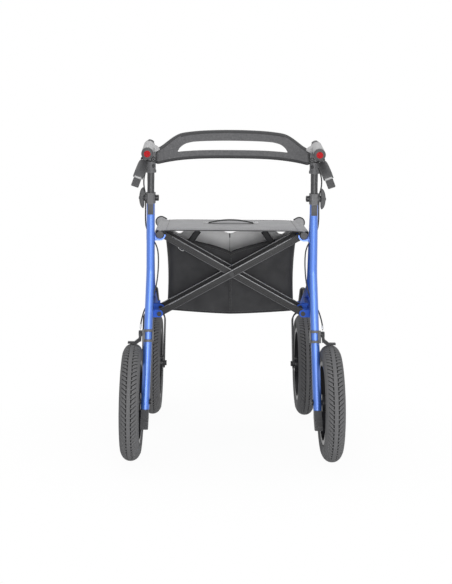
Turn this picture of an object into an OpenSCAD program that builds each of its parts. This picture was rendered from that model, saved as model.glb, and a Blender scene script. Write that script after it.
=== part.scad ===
// Four-wheeled walking frame with large air tyres: two welded side frames joined by two cross-folding
// pairs of bars, a sling seat, a front bag, a padded backrest band and handles with hand brakes.
// Frame: +Y is the walking direction, +Z up, the floor at z = 0 and the middle of the base at the origin.

/* [Wheels] */
// Outside diameter of each tyre
wheel_d = 310; // [290:1:320]
// Width of each tyre
tyre_w = 53; // [46:1:56]
// How far the tyre's beads reach down over the rim
bead_sink = 2; // [0:0.5:4]
// Rubber thickness of the tyre's carcass
carcass_t = 6.5; // [5:0.5:9]
// Width of each groove in the tread
tread_groove_w = 2.6; // [1:0.2:4]
// Depth of each groove in the tread
tread_groove_depth = 2.4; // [1:0.2:4]
// Distance between the rear axle and the front axles
wheelbase = 460; // [440:1:520]
// Distance between the middles of the front wheels
front_track = 472; // [466:1:500]
// Spokes of each rim
spokes = 5; // [4:1:7]
// Diameter of the wheel axles
axle_d = 10; // [8:0.5:12]
// Outside diameter of the wheel bearings
bearing_d = 26; // [22:0.5:30]

/* [Side frame] */
// Outside diameter of the frame tubes
tube_d = 23; // [21:0.5:25]
// Wall of the frame tubes
tube_wall = 1.4; // [1.2:0.1:2]
// Bend radius of the frame tubes
bend_r = 70; // [50:1:90]
// Half distance between the rear legs at the axle
leg_foot_x = 234.5; // [232:0.5:250]
// Half distance between the rear legs above their bend
leg_top_x = 226.5; // [224:0.5:236]
// Height of the leg's bend above the tyres
leg_bend_up = 190; // [170:1:210]
// How far the leg's bend stands ahead of the rear axle
leg_lean = 66; // [50:1:80]
// How far the leg's top leans back from its bend
leg_back = 13; // [5:1:20]
// How far the leg runs below the axle
leg_drop = 20; // [17:1:24]
// Outside diameter of the lower rail
rail_d = 20; // [16:0.5:23]

/* [Cross fold] */
// Half distance between the lower pivots of the cross bars
pivot_x = 202; // [190:0.5:203]
// Height of the lower pivots above the tyres
pivot_up = 69; // [60:1:80]
// Height of the seat tubes above the tyres
seat_up = 292; // [280:1:305]
// Height of the leg's top end above the seat tubes
leg_over_seat = 90; // [78:1:108]
// Height of a cross bar's section
bar_h = 18; // [15:0.5:20]
// Thickness of a cross bar
bar_t = 15; // [12:0.5:16]
// Distance between the rear and the front cross
cross_pitch = 95; // [80:1:110]
// Diameter of the pivot bolts
pivot_d = 8; // [6:0.5:9]
// Outside diameter of the seat tubes
seat_tube_d = 20; // [18:0.5:22]
// Length of the seat tubes
seat_tube_l = 292; // [270:1:310]

/* [Handles] */
// Outside diameter of the telescopic handle tube
handle_tube_d = 20; // [18:0.2:20]
// How far the handle head stands above the leg's top
handle_out = 86; // [70:1:110]
// Height of the grip's axis above the foot of the handle head
grip_rise = 71.5; // [66:0.5:78]
// Length of the grip
grip_l = 122; // [110:1:135]
// Diameter of the grip
grip_d = 32; // [29:0.5:35]
// Length of the brake lever from its pin to its bend
lever_l = 64; // [55:1:75]
// Width of the brake lever's channel
lever_w = 19; // [17:0.5:22]
// Angle by which the brake lever leans outwards
lever_lean = 19; // [10:1:25]

/* [Soft parts] */
// Thickness of the seat cloth
cloth_t = 2; // [1.5:0.1:2.6]
// Sag of the seat's middle
seat_sag = 5; // [2:0.5:10]
// Gap between the bag and the lower pivots' axes on each side
bag_side_gap = 16; // [12:1:30]
// Depth of the bag from its rear panel to its front panel
bag_depth = 145; // [120:1:170]
// How far the bag's lower side edges hang below the lower pivots
bag_drop = 16; // [0:1:30]
// Thickness of the backrest band
backrest_t = 20; // [14:0.5:24]
// How far the backrest bows forward
backrest_bow = 65; // [40:1:90]

/* [Hidden] */
$fn = 64;

// Fits, gaps and one overrun for all cuts
overrun = 1;
run_fit = 0.05;
slip_fit = 0.1;
weld_gap = 0.1;
body_gap = 0.4;
leg_gap = 0.3;
cloth_gap = 0.3;
bend_lap = 2;
bend_swell = 0.24;
height_down = 40;
height_up = 90;

// Wheels
wheel_r = wheel_d / 2;
axle_z = wheel_r;
rear_y = -wheelbase / 2;
front_y = wheelbase / 2;
leg_bend_z = wheel_d + leg_bend_up;
pivot_z = wheel_d + pivot_up;
seat_z = wheel_d + seat_up;
leg_top_z = seat_z + leg_over_seat;
tyre_mid_r = wheel_r - tyre_w / 2;
rim_r = wheel_r - tyre_w + bead_sink;
rim_wall = 5;
rim_lip_h = 6;
rim_lip_w = 3.5;
bead_w = 7.5;
rim_seat_w = tyre_w - 2 * bead_w;
groove_x = tyre_w / 8;
bead_slot_w = rim_seat_w / 2;
hub_d = 46;
bearing_w = 8;
spacer_l = 1.5;
spacer_d = 16;
spoke_w = 20;
spoke_hub_w = 15;
spoke_rim_w = 11;
spoke_web = 6;
tyre_leg_gap = 1.2;
leg_at_tyre_x = leg_foot_x + (leg_top_x - leg_foot_x) * tyre_mid_r / (leg_bend_z - axle_z);
rear_wheel_x = leg_at_tyre_x + tube_d / 2 + tyre_leg_gap + tyre_w / 2;
front_wheel_x = front_track / 2;
rear_hub_l = 2 * (rear_wheel_x - leg_foot_x - tube_d / 2 - spacer_l);
axle_head_t = 5;
axle_cap_d = 24;
axle_cap_t = 7;

// Side frame
leg_end = [leg_foot_x, rear_y, axle_z]
    - [leg_top_x - leg_foot_x, leg_lean, leg_bend_z - axle_z] * leg_drop / (leg_bend_z - axle_z);
leg_bend = [leg_top_x, rear_y + leg_lean, leg_bend_z];
leg_top = leg_bend + [0, -leg_back, leg_top_z - leg_bend_z];
leg_points = [leg_end, leg_bend, leg_top];
upper_tilt = atan(leg_back / (leg_top_z - leg_bend_z));
lower_tilt = atan(leg_lean / (leg_bend_z - axle_z));
function leg_low(z) = leg_bend + (leg_bend - leg_end) * (z - leg_bend_z) / (leg_bend_z - leg_end[2]);
function leg_at(z) = z < leg_bend_z ? leg_low(z) : leg_high(z);
function leg_high(z) = leg_bend + (leg_top - leg_bend) * (z - leg_bend_z) / (leg_top_z - leg_bend_z);

// Fork and steering head
fork_tilt = 18;
fork_gap = 5;
fork_side_gap = 5;
fork_t = 4.5;
fork_foot_d = 30;
fork_top_w = 38;
fork_corner_r = 26;
fork_reach = wheel_r + fork_gap + fork_t;
steer_y = front_y + fork_reach * sin(fork_tilt);
crown_d = 34;
stem_d = 14;
head_d = 36;
head_z = axle_z + fork_reach * cos(fork_tilt) + fork_top_w / 2 * sin(fork_tilt) + body_gap;
head_h = 24;
stem_nut_d = 20;
stem_nut_t = 7;
cap_d = 30;
cap_h = 44;
cap_wall = 2;
cap_top_share = 0.74;

// Front tube: leaves the leg below its top, runs beside it and turns forward to the steering head
front_join_drop = 24;
shoulder_ahead = 68;
shoulder_drop = 6;
knee_ahead = 124;
knee_drop = 55;
front_splay = (front_wheel_x - leg_top_x) / 2;
front_points = [
    leg_high(leg_top_z - front_join_drop),
    [leg_top_x + front_splay, leg_bend[1] + shoulder_ahead, seat_z - shoulder_drop],
    [leg_top_x + front_splay, leg_bend[1] + knee_ahead, leg_bend_z - knee_drop],
    [front_wheel_x, steer_y, head_z + head_h / 2]
];
function on_run(a, b, z) = a + (b - a) * (z - a[2]) / (b[2] - a[2]);

// Cross bars, seat tubes and saddles
seat_tube_wall = 1.5;
seat_tube_gap = 2.5;
seat_tube_y = leg_high(seat_z)[1] + tube_d / 2 + seat_tube_gap;
saddle_w = 12;
saddle_t = 4;
saddle_r = seat_tube_d / 2 + cloth_gap + cloth_t + cloth_gap;
bar_gap = 1;
cross_back_gap = 4;
rear_cross_y = seat_tube_y + saddle_w + bar_t + cross_back_gap;
cross_ys = [rear_cross_y, rear_cross_y + cross_pitch];
bar_offset = (bar_t + bar_gap) / 2;
bar_run = [2 * pivot_x, seat_z - pivot_z];
bar_l = norm(bar_run);
bar_angle = atan2(bar_run[1], bar_run[0]);
bar_wall = 2.5;
bar_groove_w = bar_h / 3;
bar_groove_depth = 1.2;
bar_plain_l = 22;
clevis_t = 4;
clevis_margin = 1;
clevis_r = bar_h / 2 + clevis_margin;
bolt_head_d = 13;
bolt_head_t = 4.5;
plug_t = 3;
plug_l = 10;

// Handles, in the frame of the leg's upper run: the origin is the leg's top, z follows the tube
collar_wall = 2;
collar_boss = 1.5;
collar_d = tube_d + 2 * collar_wall;
collar_h = 30;
tongue_w = 16;
tongue_t = 3;
tongue_l = 30;
clamp_z = collar_h / 2;
clamp_bolt_d = 6;
clamp_head_d = 14;
clamp_head_t = 6;
knob_hub_d = 18;
knob_hub_l = 9;
knob_h = 54;
knob_depth = 13;
knob_w = 10;
insert_margin = 6;
handle_insert = norm(leg_top - leg_bend) - bend_trim(leg_points, 1, bend_r) - height_down - insert_margin;
socket_d = 27;
socket_ring_d = 30;
socket_ring_h = 7;
socket_depth = 30;
head_w = 25;
grip_slope = 5;
grip_x = 4.5;
grip_ahead = 18;
front_share = 0.8;
core_d = 18;
tongue_pin_y = -26;
pin_drop = 34;
pin_d = 5;
lever_t = 13;
lever_wall = 2;
lever_dip = 26;
pad_l = 22;
pad_dip = 58;
pad_t = 9;
lever_tongue_w = 10;
cheek_back = 8;
cheek_ahead = 14;
shelf_back = 38;
shelf_front = 10;
reflector_d = 18;
reflector_t = 4;

// Brake, on the leg just above the rear tyre
brake_up = 18;
brake_z = axle_z + wheel_r + brake_up;
brake_ring_h = 7;
brake_window_h = 20;
brake_wall = 4;
housing_share = 0.75;
brake_pin_d = 8;
brake_pin_back = 8;
brake_pin_up = 8;
shoe_hub_d = 16;
shoe_hub_w = 9;
shoe_gap = 2.4;
shoe_back = 20;
shoe_w = 13;
shoe_l = 26;
shoe_t = 5;
shoe_inset = 1;
shoe_link_h = 10;

// Tipping pedal at the leg's end
pedal_inset = 1.5;
pedal_w = tube_d - 2 * pedal_inset;
pedal_back = 42;
pedal_drop = 50;
pedal_ribs = 4;
rib_t = 1.5;
pedal_plug_l = 8;

// Cables: outside diameter and routes on the right side (left is mirrored). The lever's cable is given by
// shares of the way from the leg's top to the handle head and offsets from the leg's top, and the brake's
// cable by shares of the way from the brake up to the leg's top and offsets from the leg at that height
cable_d = 4;
lever_cable_points = [
    [1.186, 9.5, -30], [1.023, 13.5, -35], [0.837, 17, -35], [0.64, 18, -27], [0.453, 17, -13]
];
brake_cable_points = [
    [1.105, 16.9, -8.9], [1.088, 16.5, 7.2], [1.052, 16.5, 20.3], [0.995, 15.7, 19.9], [0.934, 15.5, 18.9],
    [0.871, 15.7, 21.8], [0.808, 13.5, 25.3], [0.753, 5.5, 29.9], [0.709, -4.5, 32.8], [0.665, -14, 30.7],
    [0.61, -19.5, 26.4], [0.516, -21, 18.1], [0.401, -18.6, 15], [0.297, -11, 17.2], [0.231, 0.5, 22.8],
    [0.187, 12.1, 20.9], [0.135, 18.1, 10.5], [0.091, 20.8, -0.4], [0.058, 21.5, -5.1]
];
upper_route = [for (p = lever_cable_points) leg_top + [p[1], p[2], p[0] * handle_out]];
lower_route = [
    for (p = brake_cable_points)
        leg_at(brake_z + p[0] * (leg_top_z - brake_z)) + [p[1], p[2], 0]
];

// Seat, bag and backrest
sheet_z = seat_z + seat_tube_d / 2 + cloth_gap;
sling_inset = 5;
strap_w = 24;
strap_l = 140;
strap_rise = 9;
strap_t = 2.5;
strap_y_share = 0.62;
bag_t = 3;
bag_gap = 5;
bag_rim_gap = 12;
bag_sag = 10;
bag_notch_drop = 55;
bag_w = 2 * (pivot_x - bag_side_gap);
bag_bottom_z = pivot_z - bag_drop;
bag_y = cross_ys[1] + bar_offset + bar_t / 2 + bag_gap;
bag_rim_z = sheet_z - seat_sag - bag_rim_gap;
webbing_w = 18;
webbing_t = 2;
webbing_top_x = 95;
webbing_foot_x = 128;
webbing_drop = 40;
backrest_end_x = leg_top_x - socket_d / 2 - cloth_gap;
backrest_rise = 118;
backrest_h = 82;
shoulder_fall = 55;
end_fall = 14;
band_top_h = 29;
band_low_h = 26;
window_end_w = 63.7;
backrest_top_z = leg_top_z + handle_out + backrest_rise;
backrest_low_z = backrest_top_z - backrest_h;
backrest_end_top_z = backrest_top_z - shoulder_fall;
backrest_end_low_z = backrest_low_z - end_fall;
window_top_z = backrest_top_z - band_top_h;
window_low_z = backrest_low_z + band_low_h;
window_end_x = backrest_end_x - window_end_w;
shoulder_shares = [0.62, 1.05];
foot_shares = [0.56, 0.95];
window_shares = [0.8, 1];
outline_steps = 24;

paint = "royalblue";
black = "#2b2b2d";
plastic = "#4a4a4d";
rubber = "#555557";
steel = "silver";

// Small helpers

function unit(v) = v / norm(v);
function smooth(t) = let (u = max(0, min(1, t))) u * u * (3 - 2 * u);

// Everything is drawn for the right side; the left is its mirror image
module on_side(side) {
    if (side == "right") children();
    if (side == "left") mirror([1, 0, 0]) children();
}

// A round rod between two points
module rod(p, q, d) {
    v = q - p;
    translate(p) rotate([0, acos(v[2] / norm(v)), atan2(v[1], v[0])]) cylinder(h = norm(v), d = d);
}

// A round bar along X from x = from to x = to
module x_bar(from, to, d) {
    translate([from, 0, 0]) rotate([0, 90, 0]) cylinder(h = to - from, d = d);
}

// A round bar along Y from y = from to y = to
module y_bar(from, to, d) {
    translate([0, to, 0]) rotate([90, 0, 0]) cylinder(h = to - from, d = d);
}

// A flat outline drawn in X and Z, given depth along Y from y = from to y = to
module slab_y(from, to) {
    translate([0, to, 0]) rotate([90, 0, 0]) linear_extrude(height = to - from) children();
}

// A flat outline drawn in Y and Z, given depth along X from x = from to x = to
module slab_x(from, to) {
    translate([from, 0, 0]) rotate([90, 0, 90]) linear_extrude(height = to - from) children();
}

// How much a bend at a point takes off the straight runs beside it
function bend_trim(points, i, r) = i == 0 || i == len(points) - 1 ? 0
    : r * tan(acos(unit(points[i] - points[i - 1]) * unit(points[i + 1] - points[i])) / 2);

// A round rod through points, with bends of one radius; each run is drawn from the end of the last and
// laps a little way into the bends, which are a hair wider
module bent_rod(points, d, r) {
    v = points[1] - points[0];
    tip = acos(v[2] / norm(v));
    pan = atan2(v[1], v[0]);
    beside = [cos(tip) * cos(pan), cos(tip) * sin(pan), -sin(tip)];
    translate(points[0]) rotate([0, tip, pan]) run_on(points, 0, 0, beside, unit(v), d, r);
}

module run_on(points, i, used, beside, ahead, d, r) {
    trim = bend_trim(points, i + 1, r);
    reach = norm(points[i + 1] - points[i]) - used - trim;
    lap_back = i == 0 ? 0 : bend_lap;
    lap_on = i + 2 < len(points) ? bend_lap : 0;
    translate([0, 0, -lap_back]) cylinder(h = reach + lap_back + lap_on, d = d);
    if (i + 2 < len(points)) {
        next = unit(points[i + 2] - points[i + 1]);
        turn = acos(ahead * next);
        inward = unit(next - ahead * (ahead * next));
        roll = atan2(inward * cross(ahead, beside), inward * beside);
        translate([0, 0, reach]) rotate(roll) {
            multmatrix([[-1, 0, 0, r], [0, 0, 1, 0], [0, 1, 0, 0], [0, 0, 0, 1]])
                rotate_extrude(angle = turn) translate([r, 0]) circle(d = d + bend_swell);
            translate([r * (1 - cos(turn)), 0, r * sin(turn)]) rotate([0, turn, 0])
                run_on(points, i + 1, trim, inward * cos(turn) - ahead * sin(turn), next, d, r);
        }
    }
}

// The same points with both ends drawn out, for a bore
function drawn_out(points, by) = let (last = len(points) - 1) [
    for (i = [0 : last])
        i == 0 ? points[0] - unit(points[1] - points[0]) * by
        : i == last ? points[last] + unit(points[last] - points[last - 1]) * by
        : points[i]
];

// A flat bar with round ends between two points of a plane
module thick_line(p, q, w) {
    v = q - p;
    translate(p) rotate(atan2(v[1], v[0])) translate([0, -w / 2]) square([norm(v), w]);
    translate(p) circle(d = w);
    translate(q) circle(d = w);
}

// A tube of eight sides swept along a route
module cable(route, d) {
    sides = 8;
    last = len(route) - 1;
    turn = [for (i = [0 : last]) unit(route[min(i + 1, last)] - route[max(i - 1, 0)])];
    across = [for (t = turn) unit(cross(t, [0, 1, 0]))];
    rings = [
        for (i = [0 : last], k = [0 : sides - 1])
            route[i] + d / 2 * (across[i] * cos(360 * k / sides)
                + cross(turn[i], across[i]) * sin(360 * k / sides))
    ];
    walls = [
        for (i = [0 : last - 1], k = [0 : sides - 1])
            each let (n = (k + 1) % sides, a = i * sides, b = a + sides)
                [[a + k, b + k, b + n], [a + k, b + n, a + n]]
    ];
    ends = [
        for (k = [1 : sides - 2])
            each [[0, k, k + 1], [last * sides, last * sides + k + 1, last * sides + k]]
    ];
    polyhedron(points = rings, faces = concat(walls, ends), convexity = 4);
}

// The frame of the leg's upper run, with its origin at the leg's top
module at_handle() {
    translate(leg_top) rotate([upper_tilt, 0, 0]) children();
}

// The frame of the grip: y along the grip towards the front, its origin above the handle tube
module at_grip() {
    at_handle() translate([grip_x, 0, handle_out + grip_rise]) rotate([grip_slope, 0, 0]) children();
}

// The frame of the brake lever, leaning outwards about the grip; its origin is the lever's pin
module at_lever() {
    at_handle() translate([grip_x, tongue_pin_y, handle_out + grip_rise])
        rotate([0, -lever_lean, 0]) translate([0, 0, -pin_drop]) children();
}

// The frame of the leg's lower run at the brake
module at_brake() {
    translate(leg_low(brake_z)) rotate([-lower_tilt, 0, 0]) children();
}

// The frame of the brake shoe's pin
brake_pin_at = leg_low(brake_z) + [tube_d / 2 + brake_wall, -brake_pin_back, brake_pin_up];

// Side frame

// The straight runs of the leg and of the front tube's lower part, a hair wider, to cope other tubes on
module leg_low_cutter() {
    rod(leg_end, leg_bend, tube_d + 2 * weld_gap);
}

module leg_high_cutter() {
    rod(leg_bend, leg_top, tube_d + 2 * weld_gap);
}

module front_cutter() {
    rod(front_points[2], front_points[3], tube_d + 2 * weld_gap);
}

// Open cradle under a seat tube, drawn round the seat tube's axis, with a web out to the frame tube
module saddle(from, to, web_x) {
    difference() {
        union() {
            translate([pivot_x, 0, seat_z]) y_bar(from, to, 2 * (saddle_r + saddle_t));
            translate([pivot_x, from, seat_z - saddle_r - saddle_t])
                cube([web_x - pivot_x, to - from, saddle_r + saddle_t]);
        }
        translate([pivot_x, 0, seat_z]) y_bar(from - overrun, to + overrun, 2 * saddle_r);
        translate([pivot_x - 2 * saddle_r, from - overrun, seat_z])
            cube([web_x, to - from + 2 * overrun, 2 * saddle_r]);
    }
}

module rear_leg(side) {
    web_y = leg_high(seat_z)[1];
    on_side(side) color(paint) difference() {
        union() {
            bent_rod(leg_points, tube_d, bend_r);
            saddle(seat_tube_y + sling_inset / 2, seat_tube_y + saddle_w, leg_top_x);
            translate([pivot_x + saddle_r, web_y, seat_z - saddle_r - saddle_t])
                cube([leg_top_x - pivot_x - saddle_r, seat_tube_y + saddle_w - web_y, saddle_r + saddle_t]);
        }
        bent_rod(drawn_out(leg_points, overrun), tube_d - 2 * tube_wall, bend_r);
        translate([0, rear_y, axle_z])
            x_bar(leg_foot_x - tube_d, leg_foot_x + tube_d, axle_d + 2 * slip_fit);
    }
}

module front_tube(side) {
    saddle_y = on_run(front_points[0], front_points[1], seat_z)[1];
    bore_end = front_points[3] - unit(front_points[3] - front_points[2]) * head_d;
    on_side(side) color(paint) difference() {
        union() {
            bent_rod(front_points, tube_d, bend_r);
            translate([front_wheel_x, steer_y, head_z]) cylinder(h = head_h, d = head_d);
            saddle(saddle_y - saddle_w / 2, saddle_y + saddle_w / 2, leg_top_x + front_splay);
        }
        leg_high_cutter();
        bent_rod([for (i = [0 : 3]) i < 3 ? front_points[i] : bore_end], tube_d - 2 * tube_wall, bend_r);
        translate([front_wheel_x, steer_y, head_z - overrun])
            cylinder(h = head_h + 2 * overrun, d = stem_d + 2 * run_fit);
        translate([front_wheel_x, steer_y, head_z + head_h])
            cylinder(h = cap_h, d = cap_d + 2 * body_gap);
    }
}

// The bars of set A end on the left side, those of set B on the right
function bar_ys(side) = [for (y = cross_ys) side == "left" ? y - bar_offset : y + bar_offset];

module lower_rail(side) {
    rail_back = leg_low(pivot_z);
    rail_front = on_run(front_points[2], front_points[3], pivot_z);
    inside = bar_t / 2 + body_gap;
    on_side(side) color(paint) difference() {
        union() {
            rod(rail_back, rail_front, rail_d);
            for (y = bar_ys(side), s = [-1, 1])
                translate([0, y + s * (inside + clevis_t / 2), 0])
                    slab_y(-clevis_t / 2, clevis_t / 2)
                        translate([pivot_x, pivot_z]) {
                            circle(r = clevis_r);
                            translate([0, -clevis_r]) square([leg_top_x - pivot_x, 2 * clevis_r]);
                        }
        }
        leg_low_cutter();
        front_cutter();
        rod(rail_back, rail_front, rail_d - 2 * tube_wall);
        for (y = bar_ys(side))
            translate([pivot_x, y, pivot_z])
                y_bar(-bar_t, bar_t, pivot_d + 2 * slip_fit);
    }
}

module pivot_bolts(side) {
    reach = bar_t / 2 + body_gap + clevis_t;
    on_side(side) color(steel) for (y = bar_ys(side))
        translate([pivot_x, y, pivot_z]) {
            y_bar(-reach - bolt_head_t, reach + bolt_head_t, pivot_d);
            y_bar(-reach - bolt_head_t, -reach - weld_gap, bolt_head_d);
            y_bar(reach + weld_gap, reach + bolt_head_t, bolt_head_d);
        }
}

// Foot pedal for tipping the walker over a kerb: a boot on the leg's end with a ribbed tread
pedal_shares = [[0.26, 0], [0.26, -0.42], [-0.34, -1], [-0.92, -1], [-1, -0.86], [-0.55, -0.3], [-0.26, 0]];

module tip_pedal(side) {
    on_side(side) color(plastic) translate(leg_end) rotate([-lower_tilt, 0, 0])
        translate([0, 0, -leg_gap - weld_gap]) {
        slab_x(-pedal_w / 2, pedal_w / 2) {
            polygon([for (p = pedal_shares) [p[0] * pedal_back, p[1] * pedal_drop]]);
            for (i = [1 : pedal_ribs])
                translate([pedal_share(i / (pedal_ribs + 1), 0) * pedal_back,
                    pedal_share(i / (pedal_ribs + 1), 1) * pedal_drop]) circle(r = rib_t);
        }
        translate([0, 0, -overrun])
            cylinder(h = pedal_plug_l + overrun, d = tube_d - 2 * tube_wall - 2 * leg_gap);
    }
}

// A share of the pedal's outline along its sloping tread
function pedal_share(t, k) = pedal_shares[5][k] + (pedal_shares[4][k] - pedal_shares[5][k]) * t;

// Height adjustment

module height_collar(side) {
    on_side(side) color(plastic) at_handle() difference() {
        union() {
            translate([0, 0, weld_gap]) cylinder(h = collar_h, d = collar_d);
            translate([-tongue_w / 2, -collar_d / 2 - tongue_t / 2, -tongue_l])
                cube([tongue_w, tongue_t + (collar_d - tube_d) / 2, tongue_l + collar_h]);
            translate([0, 0, clamp_z])
                x_bar(-collar_d / 2 - collar_boss, collar_d / 2 + collar_boss, clamp_head_d);
        }
        translate([0, 0, -tongue_l - overrun])
            cylinder(h = tongue_l + overrun + weld_gap, d = tube_d + 2 * weld_gap);
        translate([0, 0, -overrun]) cylinder(h = collar_h + 2 * overrun, d = handle_tube_d + 2 * slip_fit);
        translate([0, 0, clamp_z]) x_bar(-collar_d, collar_d, clamp_bolt_d + 2 * slip_fit);
    }
}

module clamp_bolt(side) {
    seat = collar_d / 2 + collar_boss + weld_gap;
    on_side(side) color(black) at_handle() translate([0, 0, clamp_z]) {
        x_bar(-seat - clamp_head_t, seat + knob_hub_l, clamp_bolt_d);
        x_bar(-seat - clamp_head_t, -seat, clamp_head_d);
    }
}

module wing_knob(side) {
    seat = collar_d / 2 + collar_boss + body_gap;
    bow_r = (pow(knob_h / 2, 2) + pow(knob_depth, 2)) / (2 * knob_depth);
    on_side(side) color(black) at_handle() translate([seat, 0, clamp_z]) difference() {
        union() {
            x_bar(0, knob_hub_l + knob_depth / 3, knob_hub_d);
            slab_y(-knob_w / 2, knob_w / 2) intersection() {
                translate([knob_hub_l + knob_depth - bow_r, 0]) difference() {
                    circle(r = bow_r);
                    translate([-knob_depth / 2, 0]) circle(r = bow_r - knob_depth / 5);
                }
                translate([knob_hub_l, -knob_h / 2]) square([knob_depth, knob_h]);
            }
        }
        x_bar(-overrun, knob_hub_l + weld_gap, clamp_bolt_d + 2 * run_fit);
    }
}

module handle_tube(side) {
    slot_low = clamp_z - height_up - clamp_bolt_d;
    slot_high = clamp_z + height_down + clamp_bolt_d;
    on_side(side) color(black) at_handle() difference() {
        translate([0, 0, -handle_insert])
            cylinder(h = handle_insert + handle_out + socket_depth - weld_gap, d = handle_tube_d);
        translate([0, 0, -handle_insert - overrun])
            cylinder(h = handle_insert + handle_out + socket_depth + 2 * overrun,
                d = handle_tube_d - 2 * tube_wall);
        slab_x(-handle_tube_d, handle_tube_d)
            thick_line([0, slot_low], [0, slot_high], clamp_bolt_d + 4 * slip_fit);
    }
}

// Handle head: socket on the tube, neck up to the grip's core, and the cheek and tongue that carry the lever
neck_shares = [[0.5, 0], [0.5, 0.55], [0.62, 0.8], [-0.56, 0.66], [-0.5, 0.1]];

module lever_tongue(extra) {
    cheek_low = lever_t / 2 + 2 * body_gap - extra;
    at_lever() {
        slab_x(-lever_tongue_w / 2 - extra, lever_tongue_w / 2 + extra)
            thick_line([0, 0], [core_d / 2, pin_drop - core_d / 2], lever_t + 2 * extra);
        slab_x(-lever_w / 2 - extra, lever_w / 2 + extra)
            translate([-cheek_back - extra, cheek_low])
                square([cheek_back + cheek_ahead + 2 * extra, pin_drop - core_d / 3 - cheek_low]);
    }
}

module handle_head(side) {
    on_side(side) color(plastic) difference() {
        union() {
            at_handle() translate([0, 0, handle_out]) {
                cylinder(h = socket_depth + tube_wall, d = socket_d);
                cylinder(h = socket_ring_h, d = socket_ring_d);
                translate([0, 0, socket_depth]) slab_x(-socket_d / 2, head_w / 2)
                    polygon([for (p = neck_shares) [p[0] * socket_d, p[1] * (grip_rise - socket_depth)]]);
            }
            at_grip() y_bar(-grip_l + grip_ahead + reflector_t + grip_d / 2, grip_ahead / 2, core_d);
            lever_tongue(0);
        }
        at_handle() translate([0, 0, handle_out - overrun])
            cylinder(h = socket_depth + overrun, d = handle_tube_d + 2 * slip_fit);
        at_lever() x_bar(-lever_w, lever_w, pin_d + 2 * run_fit);
    }
}

// Grip: a round palm rest that narrows and rises to the front, with a shelf on its inner side
module grip(side) {
    back = -grip_l + grip_ahead;
    neck_back = neck_shares[3][0] * socket_d - slip_fit;
    neck_ahead = neck_shares[2][0] * socket_d + slip_fit;
    on_side(side) color("gainsboro") difference() {
        at_grip() union() {
            hull() {
                y_bar(back, back + grip_d / 3, grip_d, $fn = 32);
                translate([0, 0, grip_d / 12])
                    y_bar(grip_ahead - grip_d / 3, grip_ahead, grip_d * front_share, $fn = 32);
            }
            hull() {
                y_bar(-shelf_back, -shelf_front, grip_d / 2, $fn = 32);
                translate([-grip_d, 0, 0]) y_bar(-shelf_back, -shelf_front, grip_d / 6, $fn = 32);
            }
        }
        at_grip() {
            y_bar(back + reflector_t, grip_ahead + overrun, core_d + 2 * slip_fit);
            y_bar(back - overrun, back + reflector_t - overrun, reflector_d + 2 * slip_fit);
        }
        at_handle() translate([-socket_d / 2 - slip_fit, neck_back, handle_out])
            cube([socket_d / 2 + head_w / 2 + 2 * slip_fit, neck_ahead - neck_back, grip_rise]);
        lever_tongue(slip_fit);
    }
}

module grip_reflector(side) {
    back = -grip_l + grip_ahead;
    on_side(side) color("crimson") at_grip()
        y_bar(back - overrun / 2, back + reflector_t - overrun - weld_gap, reflector_d);
}

// Brake lever: a channel with its pin, a bend and a ribbed thumb pad
module brake_lever(side) {
    bend = lever_l * [-cos(lever_dip), -sin(lever_dip)];
    tip = bend + pad_l * [-cos(pad_dip), -sin(pad_dip)];
    on_side(side) color(black) at_lever() {
        difference() {
            union() {
                slab_x(-lever_w / 2, lever_w / 2) thick_line([0, 0], bend, lever_t);
                slab_x(-lever_w / 2, lever_w / 2) thick_line(bend, tip, pad_t);
            }
            slab_x(-lever_w / 2 + lever_wall, lever_w / 2 - lever_wall)
                translate([0, lever_wall])
                    thick_line([lever_t, lever_t / 2], bend + [lever_wall, 0], lever_t);
            slab_x(-lever_tongue_w / 2 - body_gap, lever_tongue_w / 2 + body_gap) circle(r = lever_t);
        }
        x_bar(-lever_w / 2, lever_w / 2, pin_d);
    }
}

module lever_cable(side) {
    on_side(side) color(black) cable(upper_route, cable_d);
}

module brake_cable(side) {
    on_side(side) color(black) cable(lower_route, cable_d);
}

// Brake housing: two bands round the leg with a window between, and a stub that carries the shoe
module brake_housing(side) {
    outside_d = tube_d + 2 * brake_wall;
    half = brake_window_h / 2 + brake_ring_h;
    on_side(side) color(plastic) difference() {
        union() {
            at_brake() {
                for (z = [-half, brake_window_h / 2])
                    translate([0, 0, z]) cylinder(h = brake_ring_h, d = outside_d);
                translate([tube_d / 2 - brake_wall, -tube_d / 2, -half])
                    cube([2 * brake_wall, tube_d * housing_share, 2 * half]);
                translate([-tube_d / 2 - brake_wall, -tube_d / 4, -half])
                    cube([brake_wall, tube_d / 2, 2 * half]);
            }
            translate(brake_pin_at) x_bar(-brake_wall, shoe_hub_w + 2 * body_gap, brake_pin_d);
        }
        leg_low_cutter();
    }
}

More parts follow.
